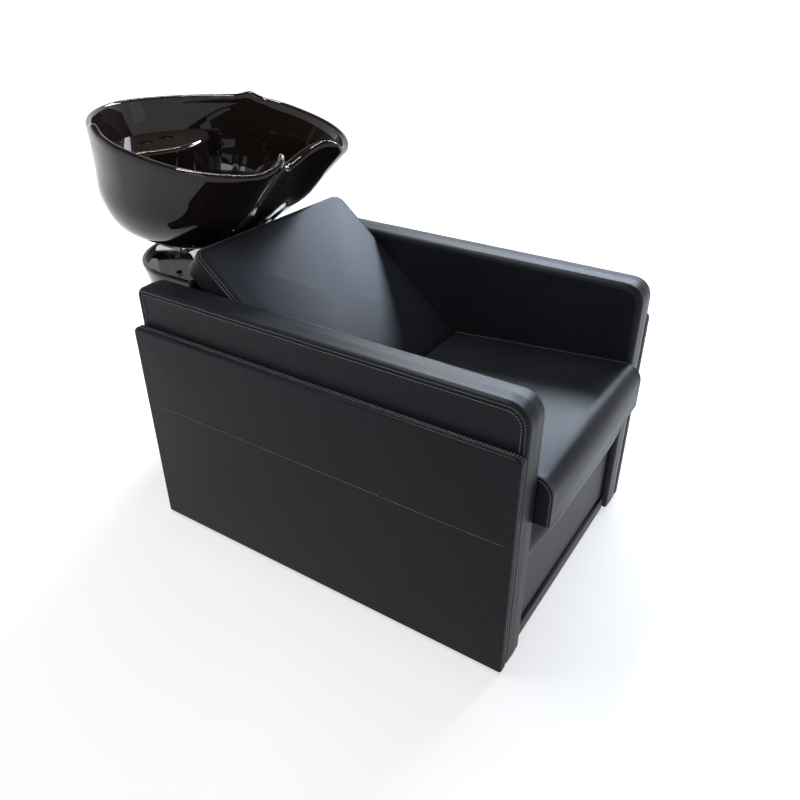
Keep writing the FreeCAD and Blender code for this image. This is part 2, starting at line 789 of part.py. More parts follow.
def make_steelwork():
    """Post, plates and link bars that carry the basin and tie the column to the chair."""
    foot_front = f"({PIVOT_Y} - foot_plate_width/2)"
    foot_rear = "(column_front + column_depth - column_taper - column_wall - foot_plate_room)"
    keep("foot_plate", block("foot_plate", across("foot_plate_width/2"), (foot_front, foot_rear),
                             ("0", "plate_thickness")))
    head_low = f"({TOP_UNDER} - plate_thickness)"
    tube = [("plate_thickness", head_low), ("plate_thickness - overrun", f"{head_low} + overrun")]
    outer = block("post_outer", across("tube_size/2"),
                  (f"{PIVOT_Y} - tube_size/2", f"{PIVOT_Y} + tube_size/2"), tube[0])
    bore = "(tube_size/2 - tube_wall)"
    inner = block("post_bore", across(bore), (f"{PIVOT_Y} - {bore}", f"{PIVOT_Y} + {bore}"), tube[1])
    keep("steel_post", cut("steel_post", outer, inner))
    head = block("head_plate_blank", across("head_plate_width/2"),
                 (f"{PIVOT_Y} - bracket_front", f"{PIVOT_Y} + bracket_rear"), (head_low, TOP_UNDER))
    keep("head_plate", cut("head_plate", head, *bracket_bolts("fit_gap")))
    rail_front = RAIL_SPANS["rear_base_rail"][0][0]
    bars = [block("link_bar", (f"{sign}link_bar_spacing/2 - link_bar_width/2",
                               f"{sign}link_bar_spacing/2 + link_bar_width/2"),
                  (rail_front, foot_front), ("0", "floor_gap"))
            for sign in "-+"]
    keep("link_bars", group("link_bars", bars))


BRACKET_BOLT_PLACES = [
    (f"{sign}({CHEEK_IN} - bracket_bolt_inset_x)", row)
    for sign in "-+"
    for row in (f"{PIVOT_Y} - bracket_front + bracket_bolt_inset_y",
                f"{PIVOT_Y} + bracket_rear - bracket_bolt_inset_y")
]
BRACKET_FLOOR = f"({RECESS} + bracket_wall)"
NUT_LOW = f"({TOP_UNDER} - plate_thickness - hex_height)"
PIN_REACH = f"({CHEEK_OUT} + pivot_nut_height)"


def pivot_bore():
    """Running bore for the pivot pin, through everything on it."""
    start = f"-{PIN_REACH} - overrun"
    return rod("pivot_bore", "x", (start, PIVOT_Y, PIVOT_Z), "pivot_radius + pivot_clearance",
               f"2*({PIN_REACH} + overrun)")


def bracket_bolts(clearance):
    """Shanks of the bolts that hold the bracket, grown by a clearance."""
    for x, y in BRACKET_BOLT_PLACES:
        yield rod("bracket_shank", "z", (x, y, NUT_LOW), f"bracket_bolt_radius + {clearance}",
                  f"{BRACKET_FLOOR} - {NUT_LOW}")


def make_bracket():
    """Bracket with two cheeks on the column's top, its bolts, the pivot pin and washers."""
    depth = (f"{PIVOT_Y} - bracket_front", f"{PIVOT_Y} + bracket_rear")
    plate = block("bracket_floor", across(CHEEK_OUT), depth, (RECESS, BRACKET_FLOOR))
    top = S.column_height - S.column_recess + S.bracket_height

    def cheek_radius(edge):
        return S.bracket_corner_radius if along(edge, 0) and lies_at(edge, 2, top) else 0

    parts = [plate]
    for side in SIDES:
        cheek = block(f"cheek_{side}", sided(side, CHEEK_IN, CHEEK_OUT), depth,
                      (RECESS, f"{RECESS} + bracket_height"))
        parts.append(rounded(f"cheek_form_{side}", cheek, cheek_radius))
    bracket = fuse("bracket_blank", *parts)
    keep("tilt_bracket", cut("tilt_bracket", bracket, pivot_bore(), *bracket_bolts("fit_gap")))

    bolts = []
    for (x, y), shank in zip(BRACKET_BOLT_PLACES, bracket_bolts("0")):
        head = hexagon("bolt_head", "z", (x, y, BRACKET_FLOOR), "hex_radius", "hex_height")
        bolts.append(fuse("bracket_bolt", shank, head))
    keep("bracket_bolts", group("bracket_bolts", bolts))
    nuts = [cut("bracket_nut", hexagon("nut_blank", "z", (x, y, NUT_LOW), "hex_radius", "hex_height"), hole)
            for (x, y), hole in zip(BRACKET_BOLT_PLACES, bracket_bolts("fit_gap"))]
    keep("bracket_nuts", group("bracket_nuts", nuts))

    keep("pivot_pin", rod("pivot_pin", "x", (f"-{PIN_REACH}", PIVOT_Y, PIVOT_Z), "pivot_radius",
                          f"2*{PIN_REACH}"))
    caps = []
    washers = []
    for side in SIDES:
        low, _ = sided(side, CHEEK_OUT, PIN_REACH)
        cap = hexagon("cap_blank", "x", (low, PIVOT_Y, PIVOT_Z), "pivot_nut_radius", "pivot_nut_height")
        caps.append(cut("pivot_nut", cap, pivot_bore()))
        low, _ = sided(side, f"{LUG_OUT} + washer_gap", f"{CHEEK_IN} - washer_gap")
        disc = rod("washer_blank", "x", (low, PIVOT_Y, PIVOT_Z), "washer_radius", "washer_thickness")
        washers.append(cut("friction_washer", disc, pivot_bore()))
    keep("pivot_nuts", group("pivot_nuts", caps))
    keep("friction_washers", group("friction_washers", washers))


CRADLE_BOLT_PLACES = corner_points("cradle_bolt_spacing_x", "cradle_bolt_spacing_y", PIVOT_Y)


def cradle_bolts(clearance):
    """Shanks of the bolts that hold the basin to its cradle, grown by a clearance."""
    for x, y in CRADLE_BOLT_PLACES:
        yield rod("cradle_shank", "z", (x, y, CRADLE_LOW), f"cradle_bolt_radius + {clearance}",
                  f"cradle_thickness + gasket_thickness + cradle_bolt_bite + {clearance}")


def make_cradle():
    """Cradle with two lugs on the pivot pin, the gasket on it and its bolts."""
    depth = (f"{PIVOT_Y} - cradle_length/2", f"{PIVOT_Y} + cradle_length/2")
    parts = [block("cradle_plate", across(LUG_OUT), depth, (CRADLE_LOW, CRADLE_TOP))]
    for side in SIDES:
        low, high = sided(side, LUG_IN, LUG_OUT)
        parts.append(block(f"lug_web_{side}", (low, high),
                           (f"{PIVOT_Y} - lug_radius", f"{PIVOT_Y} + lug_radius"), (PIVOT_Z, CRADLE_LOW)))
        parts.append(rod(f"lug_eye_{side}", "x", (low, PIVOT_Y, PIVOT_Z), "lug_radius", "lug_thickness"))
    cradle = fuse("cradle_blank", *parts)
    keep("tilt_cradle", cut("tilt_cradle", cradle, pivot_bore(), *cradle_bolts("fit_gap")))
    gasket = block("gasket_blank", across(LUG_OUT), depth, (CRADLE_TOP, FOOT))
    keep("basin_gasket", cut("basin_gasket", gasket, *cradle_bolts("fit_gap")))
    bolts = []
    for (x, y), shank in zip(CRADLE_BOLT_PLACES, cradle_bolts("0")):
        head = hexagon("cradle_head", "z", (x, y, f"{CRADLE_LOW} - hex_height"), "hex_radius", "hex_height")
        bolts.append(fuse("cradle_bolt", shank, head))
    keep("cradle_bolts", group("cradle_bolts", bolts))


# Basin: closed curves up the outside, over the rim and down the inside.
# Shares are of the height, the half width, and the reach from the foot to the rim at each end and at the
# widest place; powers say how square each end is.
OUTSIDE_SHARES = dict(
    level=(0.0, 0.09, 0.22, 0.42, 0.68, 0.94),
    width=(0.483, 0.656, 0.838, 0.94, 0.967, 1.0),
    front=(0.0, 0.08, 0.223, 0.486, 0.734, 1.0),
    rear=(0.0, 0.511, 0.678, 0.842, 0.931, 1.0),
    widest=(0.0, 0.2, 0.4, 0.6, 0.8, 1.0),
    neck=(0.0, 0.0, 0.05, 0.25, 0.6, 0.95),
    front_power=(2.2, 2.25, 2.3, 2.4, 2.45, 2.5),
    rear_power=(2.1, 2.05, 2.0, 1.9, 1.75, 1.65),
)
INSIDE_SHARES = dict(
    level=(0.93, 0.66, 0.4, 0.18, 0.05, 0.01),
    width=(0.935, 0.9, 0.865, 0.76, 0.55, 0.3),
    front=(0.865, 0.649, 0.423, 0.167, 0.054, 0.014),
    rear=(0.888, 0.806, 0.731, 0.494, -0.069, -0.544),
    widest=(1.0, 0.92, 0.8, 0.6, 0.7, 1.0),
    neck=(0.98, 0.62, 0.3, 0.06, 0.0, 0.0),
    front_power=(2.45, 2.4, 2.35, 2.3, 2.1, 2.0),
    rear_power=(1.7, 1.75, 1.8, 1.9, 2.0, 2.0),
)
RIM_SHARES = ((0.1, 0.5), (0.4, 0.1), (1.0, 0.0), (1.6, 0.1), (1.9, 0.5))
OUTLINE_POINTS = 60
QUARTER_STEPS = 60
ROW_STEPS = 2


def between(table, position):
    """Smooth value of a table of shares at a position between its rows."""
    row = min(int(position), len(table) - 2)
    share = position - row
    before, start, end, after = (table[min(max(row + step, 0), len(table) - 1)] for step in (-1, 0, 1, 2))
    lean_in, lean_out = (end - before) / 2, (after - start) / 2
    rise = end - start
    return start + share * (lean_in + share * (3 * rise - 2 * lean_in - lean_out
                                               + share * (lean_in + lean_out - 2 * rise)))


def position_of(table, value):
    """Position between the rows of a rising table at which it reaches a value."""
    for row, (low, high) in enumerate(zip(table, table[1:])):
        if value <= high:
            return row + (value - low) / (high - low)
    return len(table) - 1


def superellipse(half_width, front, widest, rear, front_power, rear_power):
    """Dense closed plan from the front's middle, round by the left, with its own power at each end."""
    half = []
    for step in range(2 * QUARTER_STEPS + 1):
        angle = math.pi * step / (2 * QUARTER_STEPS)
        at_front = angle < math.pi / 2
        power = front_power if at_front else rear_power
        reach = widest - front if at_front else rear - widest
        x = half_width * abs(math.sin(angle)) ** (2 / power)
        y = widest - math.copysign(reach * abs(math.cos(angle)) ** (2 / power), math.cos(angle))
        half.append((x, y))
    return half + [(-x, y) for x, y in half[-2:0:-1]]


def evenly(points, count):
    """Points spaced evenly along a closed run of points."""
    closed = points + points[:1]
    steps = [math.dist(a, b) for a, b in zip(closed, closed[1:])]
    total = sum(steps)
    result, index, walked = [], 0, 0.0
    for number in range(count):
        target = total * number / count
        while walked + steps[index] < target:
            walked += steps[index]
            index += 1
        share = (target - walked) / steps[index]
        start, end = closed[index], closed[index + 1]
        result.append(tuple(a + (b - a) * share for a, b in zip(start, end)))
    return result


def closed_curve(points):
    """Closed smooth curve through points, with the same spacing on every curve."""
    spline = Part.BSplineCurve()
    spline.interpolate(Points=points, PeriodicFlag=True, Parameters=list(range(len(points) + 1)))
    return Part.Wire([spline.toShape()])


class BasinForm:
    """Places of the basin's surface, worked out from the sheet."""

    def __init__(self):
        self.rear = S.unit_length / 2
        self.front = self.rear - S.basin_length
        recess = S.column_height - S.column_recess
        self.foot = recess + S.cradle_height + S.cradle_thickness + S.gasket_thickness
        pivot_y = S.column_front + S.pivot_setback
        self.drain_y = pivot_y - S.drain_setback
        self.foot_front = pivot_y - S.basin_foot_front
        self.foot_rear = pivot_y + S.basin_foot_rear
        self.floor = self.foot + S.basin_floor
        self.last_row = len(OUTSIDE_SHARES["level"]) - 1
        self.heights = [self.rim_height(x, y) for x, y in self.plan(OUTSIDE_SHARES, self.last_row, 0)]

    def plan(self, shares, position, inset):
        """Evenly spaced plan at a position in a table of shares, drawn in by an inset, with its neck dent."""
        row = {name: between(table, position) for name, table in shares.items()}
        middle = (self.foot_front + self.foot_rear) / 2
        outline = superellipse(
            S.basin_half_width * row["width"] - inset,
            self.foot_front + (self.front - self.foot_front) * row["front"] + inset,
            middle + (self.rear - S.basin_widest_setback - middle) * row["widest"],
            self.foot_rear + (self.rear - self.foot_rear) * row["rear"] - inset,
            row["front_power"], row["rear_power"])
        depth = S.neck_depth * row["neck"] + S.neck_lip * min(inset / S.basin_wall, 1)
        return [(x, y + depth * self.neck(x, y)) for x, y in evenly(outline, OUTLINE_POINTS)]

    def neck(self, x, y):
        """Weight of the neck notch: one in the middle of the front, none past its half width."""
        if abs(x) > S.neck_half_width or y > self.front + S.basin_length / 2:
            return 0.0
        return math.cos(math.pi * x / (2 * S.neck_half_width)) ** 2

    def rim_height(self, x, y):
        """Height of the rim: level behind, a bump each side, a falling front, raised horns, a dipped neck."""
        bump_y = self.rear - S.basin_bump_setback
        low_y = self.front + S.basin_front_setback
        drop = S.basin_front_drop * min(max((bump_y - y) / (bump_y - low_y), 0.0), 1.0)
        bump = S.basin_bump_height * math.exp(-((y - bump_y) / S.basin_bump_width) ** 2)
        at_front = y < self.front + S.horn_reach
        horn = S.horn_rise * math.exp(-((abs(x) - S.horn_offset) / S.horn_width) ** 2) if at_front else 0.0
        return self.foot + S.basin_rear_height - drop + bump + horn - S.neck_dip * self.neck(x, y)

    def curve(self, plan, base, level, drop):
        """Closed curve over a plan, at a level share between a base and the rim, less a drop."""
        return closed_curve([Vector(x, y, base + level * (height - base) - drop)
                             for (x, y), height in zip(plan, self.heights)])

    def wall(self, shares, base):
        """Curves of one wall of the shell, from the first row of its shares to the last."""
        steps = (len(shares["level"]) - 1) * ROW_STEPS
        for step in range(steps + 1):
            position = step / ROW_STEPS
            yield self.curve(self.plan(shares, position, 0), base, between(shares["level"], position), 0)

    def skin(self):
        """Closed skin of the shell, lofted from the foot over the rim to the flat round the drain."""
        curves = list(self.wall(OUTSIDE_SHARES, self.foot))
        for inset_share, drop_share in RIM_SHARES:
            plan = self.plan(OUTSIDE_SHARES, self.last_row, S.rim_radius * inset_share)
            curves.append(self.curve(plan, self.foot, 1, S.rim_radius * drop_share))
        curves += self.wall(INSIDE_SHARES, self.floor)
        ring = [(S.drain_flat_radius * math.sin(2 * math.pi * number / OUTLINE_POINTS),
                 self.drain_y - S.drain_flat_radius * math.cos(2 * math.pi * number / OUTLINE_POINTS))
                for number in range(OUTLINE_POINTS)]
        curves.append(self.curve(ring, self.floor, 0, 0))
        return Part.makeLoft(curves, True, True)

    def core(self, inset, low, high):
        """Solid inside the shell's outside, drawn in by an inset, between two heights over the foot."""
        levels = OUTSIDE_SHARES["level"]
        start, end = (position_of(levels, height / S.basin_rear_height) for height in (low, high))
        steps = self.last_row * ROW_STEPS
        wires = []
        for step in range(steps + 1):
            position = start + (end - start) * step / steps
            height = self.foot + between(levels, position) * S.basin_rear_height
            wires.append(closed_curve([Vector(x, y, height)
                                       for x, y in self.plan(OUTSIDE_SHARES, position, inset)]))
        return Part.makeLoft(wires, True, True)

    def deck(self):
        """Round-fronted rear deck with its front wall, and the hollow beneath it."""
        centre = Vector(0, self.rear - S.deck_setback, self.foot - S.overrun)
        tall = S.deck_height + 2 * S.overrun
        solid = self.core(S.basin_wall / 2, 0, S.deck_height).common(
            Part.makeCylinder(S.deck_radius, tall, centre))
        hollow = self.core(S.basin_wall, S.deck_wall, S.deck_height - S.deck_wall).common(
            Part.makeCylinder(S.deck_radius - S.deck_wall, tall, centre))
        return solid, hollow


def make_basin():
    """Ceramic basin with rear deck, tap holes, drain hole and blind bolt holes in its foot."""
    form = BasinForm()
    skin = form.skin()
    deck, hollow = form.deck()
    shell = formed("basin_blank", skin.fuse(deck).cut(hollow))
    taps = [rod("tap_hole", "z", (f"{sign}tap_hole_spacing/2", "unit_length/2 - tap_hole_setback",
                                  f"{FOOT} + deck_height - 2*deck_wall"),
                "tap_hole_radius", "2*deck_wall + overrun") for sign in "-+"]
    drain = rod("drain_hole", "z", ("0", DRAIN_Y, f"{FOOT} - overrun"), "drain_hole_radius",
                "2*overrun + basin_floor")
    access = rod("deck_access", "z", ("0", "unit_length/2 - tap_hole_setback", f"{FOOT} - overrun"),
                 "deck_access_radius", "deck_height/2")
    keep("basin", cut("basin", shell, *taps, drain, access, *cradle_bolts("fit_gap")))


STRAINER_HOLE_COUNT = 6


def make_waste():
    """Strainer, waste body, seal, back nut and tailpiece under the drain."""
    low = f"({DRAIN_FLAT} - waste_length)"
    seal_low = f"({FOOT} - seal_thickness)"
    nut_low = f"({seal_low} - waste_nut_height)"
    middle = ("0", DRAIN_Y)
    flange = rod("strainer_flange", "z", (*middle, DRAIN_FLAT), "strainer_radius", "strainer_thickness")
    stem = rod("waste_stem", "z", (*middle, low), "waste_radius", "waste_length")
    bore = rod("waste_bore", "z", (*middle, f"{low} - overrun"), "waste_bore", "waste_length + overrun")
    holes = []
    for number in range(STRAINER_HOLE_COUNT):
        angle = 360 * number / STRAINER_HOLE_COUNT
        centre = (f"strainer_hole_circle*cos({angle})", f"{DRAIN_Y} + strainer_hole_circle*sin({angle})",
                  f"{DRAIN_FLAT} - overrun")
        holes.append(rod("strainer_hole", "z", centre, "strainer_hole_radius", "2*overrun"))
    keep("waste_strainer", cut("waste_strainer", fuse("waste_blank", flange, stem), bore, *holes))

    def ring(name, height, radius, thickness, shape):
        blank = shape(f"{name}_blank", "z", (*middle, height), radius, thickness)
        hole = rod(f"{name}_bore", "z", (*middle, f"{height} - overrun"), "waste_radius + fit_gap",
                   f"{thickness} + 2*overrun")
        keep(name, cut(name, blank, hole))

    ring("waste_seal", seal_low, "seal_radius", "seal_thickness", rod)
    ring("waste_nut", nut_low, "waste_nut_radius", "waste_nut_height", hexagon)
    tail_low = f"({low} - tail_length)"
    tail = rod("tail_blank", "z", (*middle, tail_low), "tail_radius", "tail_length")
    tail_bore = rod("tail_bore", "z", (*middle, f"{tail_low} - overrun"), "waste_bore",
                    "tail_length + 2*overrun")
    keep("tailpiece", cut("tailpiece", tail, tail_bore))


def check_and_export():
    """Check every object, then write one file for each sub-part."""
    doc.recompute()
    for thing in doc.Objects:
        if any(state in ("Invalid", "Error") for state in thing.State):
            raise RuntimeError(f"{thing.Label} failed: {thing.State}")
    for thing in nodes:
        if thing.Shape.isNull() or not thing.Shape.isValid():
            raise RuntimeError(f"{thing.Label} has no valid shape")
    os.makedirs("parts", exist_ok=True)
    for thing in nodes:
        thing.Shape.exportStep(f"parts/{thing.Label}.step")
        print(f"{thing.Label}: {len(thing.Shape.Solids)} solids, {thing.Shape.Volume / 1e6:.3f} litres")


for arm_side in SIDES:
    make_arm(arm_side)
    make_side_panel(arm_side)
make_rails()
make_apron()
make_seat()
make_back()
make_column()
make_steelwork()
make_bracket()
make_cradle()
make_basin()
make_waste()
check_and_export()
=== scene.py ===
"""Backwash unit: the looks of an upholstered armchair with a tilting ceramic shampoo basin.

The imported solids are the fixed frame. The soft covers and the glazed basin are stood for by finer
surfaces, and every other solid gets its finish here. Metres, +Z up, the sitter faces -Y.
"""
from __future__ import annotations

import logging
import math
from dataclasses import dataclass, field, fields
from enum import Enum
from typing import ClassVar

import bmesh
import bpy
import numpy as np
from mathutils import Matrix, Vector

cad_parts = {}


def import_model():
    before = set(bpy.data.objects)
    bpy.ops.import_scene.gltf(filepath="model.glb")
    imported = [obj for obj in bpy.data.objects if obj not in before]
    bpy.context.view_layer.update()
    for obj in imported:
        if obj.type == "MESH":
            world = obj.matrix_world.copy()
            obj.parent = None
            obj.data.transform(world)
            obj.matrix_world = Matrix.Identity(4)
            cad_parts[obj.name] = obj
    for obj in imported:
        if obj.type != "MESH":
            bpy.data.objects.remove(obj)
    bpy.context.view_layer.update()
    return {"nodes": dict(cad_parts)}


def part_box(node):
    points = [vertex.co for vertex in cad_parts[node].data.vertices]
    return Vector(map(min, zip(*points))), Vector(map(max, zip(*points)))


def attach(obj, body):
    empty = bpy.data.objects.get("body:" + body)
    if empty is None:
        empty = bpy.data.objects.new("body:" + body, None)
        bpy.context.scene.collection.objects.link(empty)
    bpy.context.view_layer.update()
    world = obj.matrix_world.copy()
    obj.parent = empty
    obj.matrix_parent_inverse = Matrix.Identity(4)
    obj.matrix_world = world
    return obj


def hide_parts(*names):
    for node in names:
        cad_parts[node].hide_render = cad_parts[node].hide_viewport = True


LOG = logging.getLogger("backwash_unit")
MM = 0.001
QUARTER = math.pi / 2
SAME_PLACE = 0.02 * MM

Colour = tuple[float, float, float]
StitchRow = tuple[np.ndarray, np.ndarray]


class Side(Enum):
    """The sitter's right or left, with its sign along X."""

    RIGHT = -1
    LEFT = 1

    @property
    def word(self) -> str:
        """Name of the side as the nodes spell it."""
        return self.name.lower()


class Body(Enum):
    """The two bodies of the unit."""

    CHAIR = "chair"
    BASIN = "basin"


class Finish(Enum):
    """The finishes of the unit, with the names of their materials."""

    LEATHERETTE = "leatherette"
    PANEL_LEATHERETTE = "panel_leatherette"
    THREAD = "thread"
    # Near-black cord: painted shade in the crease of a seam.
    SEAM = "seam_shadow"
    GLAZE = "black_glaze"
    BISQUE = "bare_ceramic"
    COLUMN = "column_gloss"
    CHROME = "dark_chrome"
    ZINC = "plated_steel"
    STEEL = "painted_steel"
    TIMBER = "timber"
    RUBBER = "rubber"
    PLASTIC = "black_plastic"


# Meshes from arrays


def mesh_object(name: str, points: np.ndarray, faces: np.ndarray, merge: bool = True) -> bpy.types.Object:
    """Object at the origin whose mesh has the given points and faces.

    Args:
        name: Name of the object and its mesh.
        points: Corner places, one row each, in metres.
        faces: Corner numbers, one row for each face.
        merge: Joins corners that lie on each other, closes open ends and turns every face outwards.

    Returns:
        The new object, shaded smooth.
    """
    mesh = bpy.data.meshes.new(name)
    flat = np.ascontiguousarray(faces, dtype=np.int32)
    mesh.vertices.add(len(points))
    mesh.vertices.foreach_set("co", np.ascontiguousarray(points, dtype=np.float32).ravel())
    mesh.loops.add(flat.size)
    mesh.loops.foreach_set("vertex_index", flat.ravel())
    mesh.polygons.add(len(flat))
    mesh.polygons.foreach_set("loop_start", np.arange(0, flat.size, flat.shape[1], dtype=np.int32))
    mesh.update(calc_edges=True)
    mesh.validate()
    if merge:
        work = bmesh.new()
        work.from_mesh(mesh)
        bmesh.ops.remove_doubles(work, verts=work.verts, dist=SAME_PLACE)
        bmesh.ops.holes_fill(work, edges=[edge for edge in work.edges if edge.is_boundary])
        bmesh.ops.recalc_face_normals(work, faces=work.faces)
        work.to_mesh(mesh)
        work.free()
    mesh.shade_smooth()
    thing = bpy.data.objects.new(name, mesh)
    bpy.context.scene.collection.objects.link(thing)
    return thing


def grid_faces(rows: int, columns: int, wrap_rows: bool = False, wrap_columns: bool = False) -> np.ndarray:
    """Quads of a grid of corners that is numbered row by row.

    Args:
        rows: Number of rows.
        columns: Number of columns.
        wrap_rows: Joins the last row to the first.
        wrap_columns: Joins the last column to the first.

    Returns:
        Corner numbers, one row of four for each quad.
    """
    number = np.arange(rows * columns).reshape(rows, columns)
    if wrap_rows:
        number = np.vstack([number, number[:1]])
    if wrap_columns:
        number = np.hstack([number, number[:, :1]])
    quads = np.stack([number[:-1, :-1], number[:-1, 1:], number[1:, 1:], number[1:, :-1]], axis=-1)
    return quads.reshape(-1, 4)


def tube_object(name: str, rows: np.ndarray, wrap_rows: bool = False) -> bpy.types.Object:
    """Closed object from rings of points.

    Args:
        name: Name of the object.
        rows: Rings, points and three coordinates; a ring drawn to one point closes an end.
        wrap_rows: Joins the last ring to the first.

    Returns:
        The new object.
    """
    faces = grid_faces(*rows.shape[:2], wrap_rows=wrap_rows, wrap_columns=True)
    return mesh_object(name, rows.reshape(-1, 3), faces)


def level_row(plan: np.ndarray, height: float) -> np.ndarray:
    """Points in plan, lifted to one height."""
    return np.column_stack([plan, np.full(len(plan), height)])


def normalised(vectors: np.ndarray) -> np.ndarray:
    """Vectors of length one in the same directions."""
    return vectors / np.maximum(np.linalg.norm(vectors, axis=-1, keepdims=True), 1e-12)


def bell(distance: np.ndarray, width: float) -> np.ndarray:
    """Bell curve: one at zero distance, small past its width."""
    return np.exp(-(distance / width) ** 2)


def spaced(path: np.ndarray, closed: bool, count: int = 0, pitch: float = 1.0) -> np.ndarray:
    """Evenly spaced points along a run of points.

    Args:
        path: Points in order.
        closed: Joins the end to the start.
        count: Number of new points, or zero to take it from the pitch.
        pitch: Distance between the new points, nearly.

    Returns:
        The new points.
    """
    run = np.vstack([path, path[:1]]) if closed else path
    walked = np.concatenate([[0.0], np.cumsum(np.linalg.norm(np.diff(run, axis=0), axis=1))])
    count = count or max(int(round(walked[-1] / pitch)), 2)
    places = np.linspace(0.0, walked[-1], count, endpoint=not closed)
    return np.stack([np.interp(places, walked, run[:, axis]) for axis in range(run.shape[1])], axis=-1)


def closed_normals(profile: np.ndarray) -> np.ndarray:
    """Outward normals of a closed run of points in a plane, for a run that turns clockwise."""
    ahead = normalised(np.roll(profile, -1, axis=0) - np.roll(profile, 1, axis=0))
    return np.stack([-ahead[:, 1], ahead[:, 0]], axis=-1)


def applied(thing: bpy.types.Object) -> bpy.types.Object:
    """Apply every modifier of an object to its mesh."""
    graph = bpy.context.evaluated_depsgraph_get()
    graph.update()
    mesh = bpy.data.meshes.new_from_object(thing.evaluated_get(graph), preserve_all_data_layers=True,
                                           depsgraph=graph)
    thing.modifiers.clear()
    old = thing.data
    thing.data = mesh
    bpy.data.meshes.remove(old)
    mesh.name = thing.name
    return thing


# Padded forms: an outline carried through a thickness

FACE_STEPS, FACE_FALL = 26, 2.2
EDGE_STEPS = 9
STRIP_PITCH, FEWEST_STRIP_STEPS = 1.6 * MM, 6
BROAD_STRIP, BROAD_STRIP_STEPS = 0.1, 90
SEAM_STEPS, SEAM_REACH = 13, 3
SEAM_PROBE = 0.4 * MM
# Waves of an uneven face: pace and start of each sine, and its weight
WAVES = ((31.0, 1.3, 1.0), (57.0, 0.4, 0.6), (93.0, 0.0, 0.4))
WAVE_SLANT, WAVE_REACH = 0.7, 45 * MM


@dataclass(frozen=True)
class Seam:
    """A sewn seam that runs round a padded form at one place of its section.

    The place is measured along the section from the start of the strip between the two faces. The rolls
    beside the groove are placed and spread by multiples of the groove's width.
    """

    place: float
    depth: float = 1.4 * MM
    width: float = 1.8 * MM
    puff: float = 1.0 * MM
    row_offset: float = 2.9 * MM
    roll_place: float = 3.2
    roll_spread: float = 2.2


